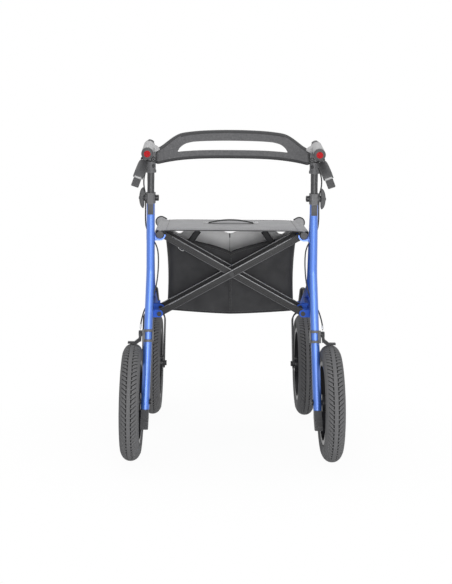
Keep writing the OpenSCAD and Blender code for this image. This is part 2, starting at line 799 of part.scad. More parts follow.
// Brake shoe: a link on the housing's stub, an arm that slants out over the tyre, and a flat pad
module brake_shoe(side) {
    pad_x = rear_wheel_x - brake_pin_at[0];
    pad_z = axle_z + wheel_r + shoe_gap - brake_pin_at[2];
    link_z = pad_z + 2 * shoe_t;
    near = body_gap + shoe_inset;
    far = body_gap + shoe_hub_w - shoe_inset;
    on_side(side) color(black) translate(brake_pin_at) difference() {
        union() {
            x_bar(body_gap, shoe_hub_w + body_gap, shoe_hub_d);
            slab_x(near, far) thick_line([0, 0], [-shoe_back, link_z], shoe_link_h);
            slab_y(-shoe_back - shoe_w / 2, -shoe_back + shoe_w / 2) polygon([
                [near + shoe_inset, link_z + shoe_t], [near + shoe_inset, link_z - shoe_t / 2],
                [pad_x - shoe_l / 2, pad_z], [pad_x + shoe_l / 2, pad_z],
                [pad_x + shoe_l / 2, pad_z + shoe_t], [pad_x - shoe_l / 6, pad_z + shoe_t],
                [far - shoe_inset, link_z + shoe_t]
            ]);
        }
        x_bar(-overrun, shoe_hub_w + 2 * overrun, brake_pin_d + 2 * run_fit);
    }
}

// Wheels, each drawn round the X axis at the origin

module tyre() {
    color(rubber) rotate([0, 90, 0]) rotate_extrude($fn = 96) difference() {
        translate([tyre_mid_r, 0]) circle(d = tyre_w);
        translate([tyre_mid_r, 0]) circle(d = tyre_w - 2 * carcass_t);
        translate([rim_r - overrun, -bead_slot_w / 2]) square([tyre_mid_r - rim_r, bead_slot_w]);
        translate([0, -tyre_w]) square([rim_r + slip_fit, 2 * tyre_w]);
        for (s = [-1, 1]) {
            translate([rim_r - rim_wall, s * (rim_seat_w / 2 + tyre_w / 2) - tyre_w / 2 - slip_fit])
                square([rim_wall + rim_lip_h + slip_fit, tyre_w + 2 * slip_fit]);
            translate([wheel_r - tread_groove_depth, s * groove_x - tread_groove_w / 2])
                square([tread_groove_depth + overrun, tread_groove_w]);
        }
    }
}

module rim(hub_l) {
    inner_r = rim_r - rim_wall;
    color(black) rotate([0, 90, 0]) difference() {
        union() {
            rotate_extrude($fn = 96) {
                translate([inner_r, -rim_seat_w / 2 - rim_lip_w])
                    square([rim_wall, rim_seat_w + 2 * rim_lip_w]);
                for (s = [0, 1]) mirror([0, s])
                    translate([inner_r, rim_seat_w / 2]) square([rim_wall + rim_lip_h, rim_lip_w]);
            }
            cylinder(h = hub_l, d = hub_d, center = true);
            for (i = [0 : spokes - 1]) rotate(360 * i / spokes) spoke(inner_r);
        }
        cylinder(h = hub_l + 2 * overrun, d = axle_d + 2 * overrun, center = true);
        for (s = [-1, 1])
            translate([0, 0, s * (hub_l / 2 - bearing_w / 2 + overrun / 2)])
                cylinder(h = bearing_w + overrun, d = bearing_d + 2 * run_fit, center = true);
    }
}

// One spoke: a tapered rib on both sides of a thin web
module spoke(inner_r) {
    from = hub_d / 2 - overrun;
    to = inner_r + rim_wall / 2;
    difference() {
        linear_extrude(height = spoke_w, center = true)
            polygon([
                [from, -spoke_hub_w], [to, -spoke_rim_w], [to, spoke_rim_w], [from, spoke_hub_w]
            ]);
        for (s = [-1, 1])
            translate([0, 0, s * (spoke_web / 2 + spoke_w / 2)])
                linear_extrude(height = spoke_w, center = true)
                    polygon([
                        [from + spoke_web, -spoke_hub_w + spoke_web],
                        [inner_r - spoke_web, -spoke_rim_w + spoke_web],
                        [inner_r - spoke_web, spoke_rim_w - spoke_web],
                        [from + spoke_web, spoke_hub_w - spoke_web]
                    ]);
    }
}

// Bearings of one hub, as rings on the axle
module bearings(hub_l) {
    for (s = [-1, 1])
        translate([s * (hub_l / 2 - bearing_w / 2), 0, 0]) rotate([0, 90, 0]) difference() {
            cylinder(h = bearing_w - 2 * weld_gap, d = bearing_d, center = true);
            cylinder(h = bearing_w + overrun, d = axle_d + 2 * run_fit, center = true);
        }
}

module rear_axle(side) {
    inner = leg_foot_x - tube_d / 2 - leg_gap;
    outer = leg_foot_x + tube_d / 2 + leg_gap;
    hub_end = rear_wheel_x + rear_hub_l / 2;
    on_side(side) color(steel) translate([0, rear_y, axle_z]) {
        x_bar(inner - axle_head_t, hub_end + axle_cap_t, axle_d);
        x_bar(inner - axle_head_t, inner, spacer_d);
        x_bar(outer, outer + spacer_l - leg_gap - body_gap, spacer_d);
        x_bar(hub_end + body_gap, hub_end + axle_cap_t, axle_cap_d);
        translate([rear_wheel_x, 0, 0]) bearings(rear_hub_l);
    }
}

module rear_rim(side) {
    on_side(side) translate([rear_wheel_x, rear_y, axle_z]) rim(rear_hub_l);
}

module rear_tyre(side) {
    on_side(side) translate([rear_wheel_x, rear_y, axle_z]) tyre();
}

// Front fork: a bent flat bar over the wheel, leaning forward to the upright stem
fork_half = tyre_w / 2 + fork_side_gap;
front_hub_l = 2 * (fork_half - spacer_l);

// Outline of an arch over the wheel with round upper corners, down to the axle's foot
module arch(half, top, corner) {
    translate([-half, -fork_foot_d]) square([2 * half, top + fork_foot_d - corner]);
    translate([-half + corner, -fork_foot_d]) square([2 * (half - corner), top + fork_foot_d]);
    for (s = [-1, 1]) translate([s * (half - corner), top - corner]) circle(r = corner);
}

module front_fork(side) {
    crown_low = axle_z + wheel_r * cos(fork_tilt);
    on_side(side) color(black) translate([front_wheel_x, 0, 0]) difference() {
        union() {
            translate([0, front_y, axle_z]) rotate([-fork_tilt, 0, 0]) intersection() {
                slab_y(-fork_top_w, fork_top_w) difference() {
                    arch(fork_half + fork_t, fork_reach, fork_corner_r + fork_t);
                    arch(fork_half, fork_reach - fork_t, fork_corner_r);
                }
                slab_x(-fork_half - 2 * fork_t, fork_half + 2 * fork_t) {
                    circle(d = fork_foot_d);
                    polygon([
                        [-fork_foot_d / 2, 0], [fork_foot_d / 2, 0],
                        [fork_top_w / 2, fork_reach], [-fork_top_w / 2, fork_reach]
                    ]);
                }
            }
            difference() {
                translate([0, steer_y, crown_low]) {
                    cylinder(h = head_z - body_gap - crown_low, d = crown_d);
                    cylinder(h = head_z + head_h + weld_gap + stem_nut_t - crown_low, d = stem_d);
                }
                translate([0, front_y, axle_z])
                    x_bar(-crown_d, crown_d, 2 * (wheel_r + fork_gap + fork_t / 2));
            }
            translate([0, steer_y, head_z + head_h + weld_gap]) cylinder(h = stem_nut_t, d = stem_nut_d);
        }
        translate([0, front_y, axle_z]) x_bar(-2 * fork_half, 2 * fork_half, axle_d + 2 * slip_fit);
    }
}

module head_cap(side) {
    base = head_z + head_h + weld_gap;
    on_side(side) color(black) translate([front_wheel_x, steer_y, base]) difference() {
        union() {
            cylinder(h = cap_h - cap_d / 3, d1 = cap_d, d2 = cap_d * cap_top_share);
            translate([0, 0, cap_h - cap_d / 3])
                rotate_extrude() intersection() {
                    circle(d = cap_d * cap_top_share);
                    square(cap_d);
                }
        }
        translate([0, 0, -overrun])
            cylinder(h = stem_nut_t + 2 * overrun + cap_wall, d = cap_d - 2 * cap_wall);
    }
}

module front_axle(side) {
    outside = fork_half + fork_t + weld_gap;
    on_side(side) color(steel) translate([front_wheel_x, front_y, axle_z]) {
        x_bar(-outside - axle_head_t, outside + axle_head_t, axle_d);
        for (s = [0, 1]) mirror([s, 0, 0]) {
            x_bar(outside, outside + axle_head_t, spacer_d);
            x_bar(fork_half - spacer_l + body_gap, fork_half - weld_gap, spacer_d);
        }
        bearings(front_hub_l);
    }
}

module front_rim(side) {
    on_side(side) translate([front_wheel_x, front_y, axle_z]) rim(front_hub_l);
}

module front_tyre(side) {
    on_side(side) translate([front_wheel_x, front_y, axle_z]) tyre();
}

// Cross fold

// One cross bar from its lower pivot on the left up to the seat tube on the right
module cross_bar(y) {
    reach = seat_tube_d / 2 + weld_gap;
    translate([-pivot_x, y, pivot_z]) rotate([0, -bar_angle, 0]) difference() {
        slab_y(-bar_t / 2, bar_t / 2) {
            circle(d = bar_h);
            translate([0, -bar_h / 2]) square([bar_l, bar_h]);
        }
        translate([bar_l, 0, 0]) y_bar(-bar_t, bar_t, 2 * reach);
        for (s = [-1, 1])
            translate([bar_plain_l, s * bar_t / 2 - bar_groove_depth, -bar_groove_w / 2])
                cube([bar_l - 2 * bar_plain_l, 2 * bar_groove_depth, bar_groove_w]);
        for (x = [bar_plain_l, bar_l / 2 + bar_plain_l])
            translate([x, -bar_t / 2 + bar_wall, -bar_h / 2 + bar_wall])
                cube([bar_l / 2 - 2 * bar_plain_l, bar_t - 2 * bar_wall, bar_h - 2 * bar_wall]);
        for (x = [0, bar_l / 2])
            translate([x, 0, 0]) y_bar(-bar_t, bar_t, pivot_d + 2 * run_fit);
    }
}

module cross_bars_a() {
    color(black) for (y = cross_ys) cross_bar(y - bar_offset);
}

module cross_bars_b() {
    color(black) mirror([1, 0, 0]) for (y = cross_ys) cross_bar(y + bar_offset);
}

module cross_bolts() {
    reach = bar_offset + bar_t / 2;
    color(steel) for (y = cross_ys)
        translate([0, y, (pivot_z + seat_z) / 2]) {
            y_bar(-reach - bolt_head_t, reach + bolt_head_t, pivot_d);
            y_bar(-reach - bolt_head_t, -reach - weld_gap, bolt_head_d);
            y_bar(reach + body_gap, reach + bolt_head_t, bolt_head_d);
        }
}

module seat_tube(side) {
    bore_d = seat_tube_d - 2 * seat_tube_wall;
    on_side(side) color(black) translate([pivot_x, seat_tube_y, seat_z]) {
        difference() {
            y_bar(plug_t, seat_tube_l - plug_t, seat_tube_d);
            y_bar(0, seat_tube_l, bore_d);
        }
        for (s = [0, 1]) translate([0, s * seat_tube_l, 0]) mirror([0, s, 0]) {
            y_bar(0, plug_t - weld_gap, seat_tube_d);
            y_bar(0, plug_t + plug_l, bore_d - 2 * slip_fit);
        }
    }
}

// Soft parts

// A sagging sheet between two heights, as a flat outline in X and Z
module sagging_sheet(half, low, t, sag) {
    r = (half * half + sag * sag) / (2 * sag);
    intersection() {
        translate([0, low - sag + t + r]) difference() {
            circle(r = r + t, $fn = 360);
            circle(r = r, $fn = 360);
        }
        translate([-half, low - 2 * sag]) square([2 * half, 4 * sag + 2 * t]);
    }
}

module seat_sling() {
    color("silver") slab_y(seat_tube_y + sling_inset, seat_tube_y + seat_tube_l - sling_inset) {
        sagging_sheet(pivot_x, sheet_z, cloth_t, seat_sag);
        for (s = [0, 1]) mirror([s, 0]) intersection() {
            translate([pivot_x, seat_z]) difference() {
                circle(d = seat_tube_d + 2 * cloth_gap + 2 * cloth_t);
                circle(d = seat_tube_d + 2 * cloth_gap);
            }
            translate([pivot_x - overrun / 2, seat_z - seat_tube_d / 2]) square(2 * seat_tube_d);
        }
    }
}

module seat_strap() {
    r = (pow(strap_l / 2, 2) + pow(strap_rise, 2)) / (2 * strap_rise);
    y = seat_tube_y + seat_tube_l * strap_y_share;
    base = sheet_z + cloth_t - seat_sag * (1 - pow(strap_l / 2 / pivot_x, 2)) + cloth_gap;
    color(black) slab_y(y - strap_w / 2, y + strap_w / 2) intersection() {
        translate([0, base + strap_rise - r]) difference() {
            circle(r = r + strap_t);
            circle(r = r);
        }
        translate([-strap_l / 2, base]) square([strap_l, strap_rise + 2 * strap_t]);
    }
}

// Outline of the bag from behind: straight sides and a lower edge that drops to the middle
module bag_outline(inset) {
    half = bag_w / 2 - inset;
    polygon([
        [-half, bag_rim_z + inset], [half, bag_rim_z + inset],
        [half, bag_bottom_z + inset], [0, bag_bottom_z - bag_sag + inset], [-half, bag_bottom_z + inset]
    ]);
}

module bag() {
    color(black) difference() {
        slab_y(bag_y, bag_y + bag_depth) bag_outline(0);
        slab_y(bag_y + bag_t, bag_y + bag_depth - bag_t) bag_outline(bag_t);
        slab_y(bag_y - overrun, bag_y + 2 * bag_t)
            polygon([
                [-bag_w / 2 + bag_t, bag_rim_z + overrun], [bag_w / 2 - bag_t, bag_rim_z + overrun],
                [0, bag_rim_z - bag_notch_drop]
            ]);
    }
}

// Webbing from the seat's edge down to the bag's rear rim
module bag_straps() {
    low = bag_rim_z - webbing_drop;
    top = sheet_z - seat_sag - cloth_gap;
    color(black) slab_y(bag_y - webbing_t - cloth_gap, bag_y - cloth_gap)
        for (s = [-1, 1])
            polygon([
                [s * (webbing_top_x - webbing_w / 2), top], [s * (webbing_top_x + webbing_w / 2), top],
                [s * (webbing_foot_x + webbing_w / 2), low], [s * (webbing_foot_x - webbing_w / 2), low]
            ]);
}

// Height of an edge that runs level and then falls to its end in a soft S
function soft_edge(x, reach, shares, mid, end) =
    mid + (end - mid) * smooth((x / reach - shares[0]) / (shares[1] - shares[0]));

module mirrored_outline(reach, top_mid, top_end, top_shares, low_mid, low_end, low_shares) {
    xs = [for (i = [-outline_steps : outline_steps]) reach * i / outline_steps];
    polygon(concat(
        [for (x = xs) [x, soft_edge(abs(x), reach, top_shares, top_mid, top_end)]],
        [for (x = xs) [-x, soft_edge(abs(x), reach, low_shares, low_mid, low_end)]]
    ));
}

module backrest() {
    end_y = leg_high(backrest_end_low_z)[1];
    half = backrest_end_x;
    r = (half * half + backrest_bow * backrest_bow) / (2 * backrest_bow);
    middle_y = end_y + backrest_bow - r;
    color(plastic) intersection() {
        slab_y(end_y - backrest_t, end_y + backrest_bow + backrest_t) difference() {
            mirrored_outline(half, backrest_top_z, backrest_end_top_z, shoulder_shares,
                backrest_low_z, backrest_end_low_z, foot_shares);
            mirrored_outline(window_end_x, window_top_z, window_low_z + (window_top_z - window_low_z) / 3,
                window_shares, window_low_z, window_low_z, window_shares);
        }
        translate([0, middle_y, backrest_end_low_z - backrest_t]) difference() {
            cylinder(h = backrest_top_z, r = r + backrest_t / 2, $fn = 180);
            translate([0, 0, -overrun])
                cylinder(h = backrest_top_z + 2 * overrun, r = r - backrest_t / 2, $fn = 180);
        }
    }
}

rear_leg("left");  // rear_leg_left
rear_leg("right");  // rear_leg_right
front_tube("left");  // front_tube_left
front_tube("right");  // front_tube_right
lower_rail("left");  // lower_rail_left
lower_rail("right");  // lower_rail_right
tip_pedal("left");  // tip_pedal_left
tip_pedal("right");  // tip_pedal_right
height_collar("left");  // height_collar_left
height_collar("right");  // height_collar_right
clamp_bolt("left");  // clamp_bolt_left
clamp_bolt("right");  // clamp_bolt_right
wing_knob("left");  // wing_knob_left
wing_knob("right");  // wing_knob_right
handle_tube("left");  // handle_tube_left
handle_tube("right");  // handle_tube_right
handle_head("left");  // handle_head_left
handle_head("right");  // handle_head_right
grip("left");  // grip_left
grip("right");  // grip_right
grip_reflector("left");  // grip_reflector_left
grip_reflector("right");  // grip_reflector_right
brake_lever("left");  // brake_lever_left
brake_lever("right");  // brake_lever_right
lever_cable("left");  // lever_cable_left
lever_cable("right");  // lever_cable_right
brake_cable("left");  // brake_cable_left
brake_cable("right");  // brake_cable_right
brake_housing("left");  // brake_housing_left
brake_housing("right");  // brake_housing_right
brake_shoe("left");  // brake_shoe_left
brake_shoe("right");  // brake_shoe_right
rear_axle("left");  // rear_axle_left
rear_axle("right");  // rear_axle_right
rear_rim("left");  // rear_rim_left
rear_rim("right");  // rear_rim_right
rear_tyre("left");  // rear_tyre_left
rear_tyre("right");  // rear_tyre_right
head_cap("left");  // head_cap_left
head_cap("right");  // head_cap_right
front_fork("left");  // front_fork_left
front_fork("right");  // front_fork_right
front_axle("left");  // front_axle_left
front_axle("right");  // front_axle_right
front_rim("left");  // front_rim_left
front_rim("right");  // front_rim_right
front_tyre("left");  // front_tyre_left
front_tyre("right");  // front_tyre_right
seat_tube("left");  // seat_tube_left
seat_tube("right");  // seat_tube_right
pivot_bolts("left");  // pivot_bolts_left
pivot_bolts("right");  // pivot_bolts_right
cross_bars_a();
cross_bars_b();
cross_bolts();
seat_sling();
seat_strap();
bag();
bag_straps();
backrest();
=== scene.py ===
"""Looks of a folding four-wheeled walking frame with air tyres: tyres, cloth, foam, grips, cables and
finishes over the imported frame. Lengths are in metres, +Y is the walking direction and +Z is up."""
import math

import bmesh
import bpy
from mathutils import Matrix, Vector


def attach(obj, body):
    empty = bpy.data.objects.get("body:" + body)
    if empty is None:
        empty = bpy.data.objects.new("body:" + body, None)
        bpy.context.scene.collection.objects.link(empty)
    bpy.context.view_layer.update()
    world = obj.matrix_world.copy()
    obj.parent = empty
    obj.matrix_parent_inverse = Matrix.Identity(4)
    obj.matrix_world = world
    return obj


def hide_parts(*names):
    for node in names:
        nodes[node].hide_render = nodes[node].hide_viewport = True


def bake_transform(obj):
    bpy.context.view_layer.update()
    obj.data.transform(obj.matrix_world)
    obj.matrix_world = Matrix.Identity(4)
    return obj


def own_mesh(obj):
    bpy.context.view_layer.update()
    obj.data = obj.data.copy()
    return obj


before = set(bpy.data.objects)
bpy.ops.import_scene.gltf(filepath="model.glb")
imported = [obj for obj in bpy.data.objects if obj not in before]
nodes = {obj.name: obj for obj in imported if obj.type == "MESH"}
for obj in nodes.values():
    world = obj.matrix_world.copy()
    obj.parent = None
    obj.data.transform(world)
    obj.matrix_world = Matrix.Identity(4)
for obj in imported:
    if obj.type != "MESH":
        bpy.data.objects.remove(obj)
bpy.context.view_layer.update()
scene = bpy.context.scene
scene.view_settings.view_transform = "Standard"
SIDES = (("left", -1), ("right", 1))
ALONG_X, ALONG_Y = (1, 0, 0), (0, 1, 0)

# Camera: level, behind the walker and a little left of its middle, framed with lens shift as the photograph is.
# The picture's size, the focal length and the point aimed at are in pixels.
PICTURE_W, PICTURE_H = 452, 584
FOCAL, AIM_X, AIM_Y = 1112.9, 211.1, 105.5
SENSOR = 24.0
camera_data = bpy.data.cameras.new("camera")
camera_data.sensor_fit = "VERTICAL"
camera_data.sensor_height = SENSOR
camera_data.lens = SENSOR * FOCAL / PICTURE_H
camera_data.shift_x = (PICTURE_W / 2 - AIM_X) / PICTURE_H
camera_data.shift_y = (AIM_Y - PICTURE_H / 2) / PICTURE_H
camera = bpy.data.objects.new("camera", camera_data)
scene.collection.objects.link(camera)
camera.matrix_world = (Matrix.Translation((-0.061, -3.267, 0.964))
                       @ Matrix.Rotation(math.radians(90), 4, "X")
                       @ Matrix.Rotation(math.radians(0.42), 4, "Z"))
scene.camera = camera

# Sizes that the pieces share with the solids
WHEEL_R = 0.155
TYRE_MID = WHEEL_R - 0.0265
WHEELS = [(end, side, sign * x, y) for end, x, y in (("rear", 0.27072, -0.230), ("front", 0.236, 0.230))
          for side, sign in SIDES]
SEAT_X, SEAT_Z, SEAT_TUBE_R = 0.202, 0.602, 0.010
SEAT_REAR, SEAT_FRONT = -0.1519, 0.1301
LEG_TOP = Vector((0.2265, -0.177, 0.692))
TILT = math.atan(13 / 192)
HANDLE_TURN = Matrix.Rotation(TILT, 4, "X")
GRIP_X, GRIP_UP = 0.0045, 0.1575


def in_handle(x, y, z):
    """A point of the right handle's own frame."""
    return LEG_TOP + HANDLE_TURN.to_3x3() @ Vector((x, y, z))


# Numbers

def soft_step(share):
    share = max(0.0, min(1.0, share))
    return share * share * (3 - 2 * share)


def even(start, stop, steps):
    """Evenly spaced values from start to stop."""
    return [start + (stop - start) * k / steps for k in range(steps + 1)]


def runs(path):
    """The length along a path up to each of its points."""
    out = [0.0]
    for a, b in zip(path, path[1:]):
        out.append(out[-1] + math.dist(a, b))
    return out


def circle(count):
    return [(math.cos(2 * math.pi * k / count), math.sin(2 * math.pi * k / count)) for k in range(count)]


def from_table(table, x):
    """A smooth curve through (place, value) pairs, the same on both sides of the middle."""
    x = min(abs(x), table[-1][0])
    i = max(k for k in range(len(table) - 1) if table[k][0] <= x)
    (x0, a), (x1, b) = table[i], table[i + 1]
    before = table[i - 1] if i else (2 * x0 - x1, b)
    after = table[i + 2] if i + 2 < len(table) else (2 * x1 - x0, 2 * b - a)
    t, span = (x - x0) / (x1 - x0), x1 - x0
    m0, m1 = (b - before[1]) / (x1 - before[0]) * span, (after[1] - a) / (after[0] - x0) * span
    return ((2 * t ** 3 - 3 * t ** 2 + 1) * a + (t ** 3 - 2 * t ** 2 + t) * m0 + (3 * t ** 2 - 2 * t ** 3) * b
            + (t ** 3 - t ** 2) * m1)


def smooth_path(points, per_span=6):
    """A finer path that runs through all the points without corners."""
    points = [Vector(p) for p in points]
    fine = []
    for i in range(len(points) - 1):
        before, a, b, after = points[max(i - 1, 0)], points[i], points[i + 1], points[min(i + 2, len(points) - 1)]
        for k in range(per_span):
            t = k / per_span
            fine.append(0.5 * ((2 * a) + (b - before) * t + (2 * before - 5 * a + 4 * b - after) * t ** 2
                               + (3 * a - before - 3 * b + after) * t ** 3))
    return fine + [points[-1]]


# Meshes

MERGE = 1e-6


def make_object(name, mesh, *materials):
    obj = bpy.data.objects.new(name, mesh)
    scene.collection.objects.link(obj)
    for material in materials:
        mesh.materials.append(material)
    return obj


def make_mesh(name, points, faces, uv=None, smooth=True):
    """A mesh, with a thread map where there is a (u, v) pair for each point."""
    mesh = bpy.data.meshes.new(name)
    mesh.from_pydata([tuple(p) for p in points], [], faces)
    mesh.validate()
    for polygon in mesh.polygons:
        polygon.use_smooth = smooth
    mesh.update()
    if uv:
        layer = mesh.uv_layers.new(name="thread")
        for loop in mesh.loops:
            layer.data[loop.index].uv = uv[loop.vertex_index]
    return mesh


def face_outwards(mesh):
    shell = bmesh.new()
    shell.from_mesh(mesh)
    bmesh.ops.remove_doubles(shell, verts=shell.verts, dist=MERGE)
    bmesh.ops.recalc_face_normals(shell, faces=shell.faces)
    shell.to_mesh(mesh)
    shell.free()
    mesh.update()
    return mesh


def sharp_edges(mesh, degrees=50):
    """Edges that turn more than the angle stay sharp under smooth shading."""
    shell = bmesh.new()
    shell.from_mesh(mesh)
    for edge in shell.edges:
        if len(edge.link_faces) == 2 and edge.calc_face_angle(0) > math.radians(degrees):
            edge.smooth = False
    shell.to_mesh(mesh)
    shell.free()
    return mesh


def grid_faces(rows, columns, wrap_rows=False, wrap_columns=False):
    faces = []
    for i in range(rows if wrap_rows else rows - 1):
        for j in range(columns if wrap_columns else columns - 1):
            a, b = i * columns, (i + 1) % rows * columns
            k = (j + 1) % columns
            faces.append((a + j, a + k, b + k, b + j))
    return faces


def sheet_mesh(name, rows, points, uv, facing):
    """An open sheet over rows of points, which looks along the facing vector in its middle."""
    mesh = make_mesh(name, points, grid_faces(rows, len(points) // rows), uv)
    if mesh.polygons[len(mesh.polygons) // 2].normal.dot(Vector(facing)) < 0:
        mesh.flip_normals()
    return mesh


def loft(name, rings, points, uv=None):
    """A closed skin over a row of rings of points."""
    sides = len(points) // rings
    faces = grid_faces(rings, sides, wrap_columns=True)
    faces += [tuple(range(sides))[::-1], tuple(range((rings - 1) * sides, rings * sides))]
    return face_outwards(make_mesh(name, points, faces, uv))


def tangents(path):
    return [(path[min(i + 1, len(path) - 1)] - path[max(i - 1, 0)]).normalized() for i in range(len(path))]


def tube_mesh(name, path, radius, sides=14):
    """A round tube along a path; radius is one value or one for each point."""
    path = [Vector(p) for p in path]
    radii = radius if isinstance(radius, list) else [radius] * len(path)
    side = tangents(path)[0].orthogonal().normalized()
    points, uv = [], []
    for p, t, r, run in zip(path, tangents(path), radii, runs(path)):
        side = (side - t * side.dot(t)).normalized()
        other = t.cross(side)
        points += [p + r * (side * c + other * s) for c, s in circle(sides)]
        uv += [(run, k / sides) for k in range(sides)]
    return loft(name, len(path), points, uv)


def bar_mesh(name, path, across, widths, depths, corner=0.4):
    """A bar of rounded rectangular section along a path; widths run along the across vector, depths square to it."""
    path, across = [Vector(p) for p in path], Vector(across).normalized()
    points, uv = [], []
    for p, along, run, width, depth in zip(path, tangents(path), runs(path), widths, depths):
        up = across.cross(along).normalized()
        w, d = width / 2, depth / 2
        r = corner * min(w, d)
        for quarter, (sw, sd) in enumerate(((1, 1), (-1, 1), (-1, -1), (1, -1))):
            for k in range(5):
                turn = math.radians(90 * quarter + 22.5 * k)
                points.append(p + across * (sw * (w - r) + r * math.cos(turn))
                              + up * (sd * (d - r) + r * math.sin(turn)))
                uv.append((run, (5 * quarter + k) * 0.002))
    return sharp_edges(loft(name, len(path), points, uv))


def turned_mesh(name, profile, sides=32):
    """A closed round piece about +Z from (radius, height) pairs."""
    return loft(name, len(profile), [(r * c, r * s, z) for r, z in profile for c, s in circle(sides)])


def join_meshes(name, meshes):
    shell = bmesh.new()
    for mesh in meshes:
        shell.from_mesh(mesh)
        bpy.data.meshes.remove(mesh)
    joined = bpy.data.meshes.new(name)
    shell.to_mesh(joined)
    shell.free()
    return joined


def mirrored(mesh, name):
    """A copy of a mesh for the other side."""
    copy = mesh.copy()
    copy.name = name
    copy.transform(Matrix.Scale(-1, 4, Vector(ALONG_X)))
    copy.flip_normals()
    copy.update()
    return copy


def apply_modifiers(obj):
    """The object's mesh with its modifiers worked in, and none left."""
    depsgraph = bpy.context.evaluated_depsgraph_get()
    mesh = bpy.data.meshes.new_from_object(obj.evaluated_get(depsgraph), depsgraph=depsgraph)
    obj.modifiers.clear()
    old = obj.data
    obj.data = mesh
    bpy.data.meshes.remove(old)
    return obj


def thicken(obj, thickness, offset=-1.0, inner_material=0):
    solid = obj.modifiers.new("thickness", "SOLIDIFY")
    solid.thickness = thickness
    solid.offset = offset
    solid.use_even_offset = True
    solid.use_rim = True
    solid.material_offset = inner_material
    return apply_modifiers(obj)


# Pieces: the body that carries each one, the solid that it stands for and its material slot

def fit(piece, body=None, node=None):
    if body:
        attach(piece, body)
    if node:
        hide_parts(node)
    return piece


def both_sides(name, mesh, body, finishes, node=None):
    """The right-hand mesh and its mirror as pieces, each for the body and the solid of its side."""
    pieces = []
    for side, sign in SIDES:
        piece = make_object(f"{name}_{side}", mesh.copy() if sign > 0 else mirrored(mesh, name), *finishes)
        fit(piece, body and f"{side}_{body}", node and f"{node}_{side}")
        pieces.append((piece, side, sign))
    bpy.data.meshes.remove(mesh)
    return pieces


# Shader groups: each puts out values and colours only

FLOAT, COLOR, VECTOR = "NodeSocketFloat", "NodeSocketColor", "NodeSocketVector"


def new_group(name, inputs, outputs):
    tree = bpy.data.node_groups.new(name, "ShaderNodeTree")
    for label, kind, value in inputs:
        socket = tree.interface.new_socket(label, in_out="INPUT", socket_type=kind)
        if value is not None:
            socket.default_value = value
    for label, kind in outputs:
        tree.interface.new_socket(label, in_out="OUTPUT", socket_type=kind)
    return tree, tree.nodes.new("NodeGroupInput").outputs, tree.nodes.new("NodeGroupOutput").inputs


def feed(tree, inputs, table):
    """Links or sets a node's inputs from a name-to-value table."""
    for name, value in table.items():
        if isinstance(value, bpy.types.NodeSocket):
            tree.links.new(value, inputs[name])
        else:
            inputs[name].default_value = value


def add_node(tree, kind, table=None, **settings):
    """A node with its settings made and its inputs fed."""
    node = tree.nodes.new(kind)
    for key, value in settings.items():
        setattr(node, key, value)
    feed(tree, node.inputs, table or {})
    return node


def maths(tree, operation, *values):
    return add_node(tree, "ShaderNodeMath", dict(enumerate(values)), operation=operation).outputs[0]


def noise(tree, place, scale, detail):
    return add_node(tree, "ShaderNodeTexNoise", {"Vector": place, "Scale": scale, "Detail": detail}).outputs[0]


def make_grain_group():
    """Fine moulded or sprayed grain over a slower mottle."""
    tree, given, out = new_group("surface grain", [
        ("Vector", VECTOR, None), ("Grain Scale", FLOAT, 900.0), ("Mottle Scale", FLOAT, 14.0),
        ("Colour", COLOR, (0.5, 0.5, 0.5, 1)), ("Mottle", FLOAT, 0.1), ("Roughness", FLOAT, 0.5),
        ("Roughness Change", FLOAT, 0.1)], [("Colour", COLOR), ("Roughness", FLOAT), ("Height", FLOAT)])
    grain = noise(tree, given["Vector"], given["Grain Scale"], 2.0)
    swing = maths(tree, "ADD", noise(tree, given["Vector"], given["Mottle Scale"], 4.0), -0.5)
    gain = maths(tree, "MULTIPLY_ADD", swing, given["Mottle"], 1.0)
    tint = add_node(tree, "ShaderNodeVectorMath", {0: given["Colour"], "Scale": gain}, operation="SCALE")
    rough = maths(tree, "MULTIPLY_ADD", swing, given["Roughness Change"], given["Roughness"])
    feed(tree, out, {"Colour": tint.outputs[0], "Roughness": rough, "Height": grain})
    return tree


def make_weave_group():
    """Plain weave on a thread map in metres: two sets of threads that pass over and under each other."""
    tree, given, out = new_group("plain weave", [
        ("Vector", VECTOR, None), ("Threads", FLOAT, 900.0), ("Colour", COLOR, (0.3, 0.3, 0.3, 1)),
        ("Contrast", FLOAT, 0.3), ("Crease", FLOAT, 0.15)],
        [("Colour", COLOR), ("Height", FLOAT), ("Roughness", FLOAT)])
    split = add_node(tree, "ShaderNodeSeparateXYZ", {0: given["Vector"]})
    turn = maths(tree, "MULTIPLY", given["Threads"], math.pi)
    over = maths(tree, "MULTIPLY", *(maths(tree, "SINE", maths(tree, "MULTIPLY", split.outputs[axis], turn))
                                     for axis in (0, 1)))
    height = maths(tree, "MULTIPLY_ADD", over, 0.5, 0.5)
    # The crease noise darkens the colour in patches as painted shade of creases, and also varies the roughness.
    crease = noise(tree, given["Vector"], 26.0, 5.0)
    shade = maths(tree, "MULTIPLY_ADD", height, given["Contrast"], 1.0)
    gain = maths(tree, "SUBTRACT", shade, maths(tree, "MULTIPLY", crease, given["Crease"]))
    tint = add_node(tree, "ShaderNodeVectorMath", {0: given["Colour"], "Scale": gain}, operation="SCALE")
    rough = maths(tree, "MULTIPLY_ADD", crease, 0.25, 0.5)
    feed(tree, out, {"Colour": tint.outputs[0], "Height": height, "Roughness": rough})
    return tree


GRAIN = make_grain_group()
WEAVE = make_weave_group()


# Materials

THREAD_DEPTH = 0.0004


def new_material(name):
    material = bpy.data.materials.new(name)
    material.use_nodes = True
    tree = material.node_tree
    return material, tree, tree.nodes["Principled BSDF"]


def bumped(tree, height, strength, depth):
    return add_node(tree, "ShaderNodeBump", {"Height": height, "Strength": strength, "Distance": depth}).outputs[0]


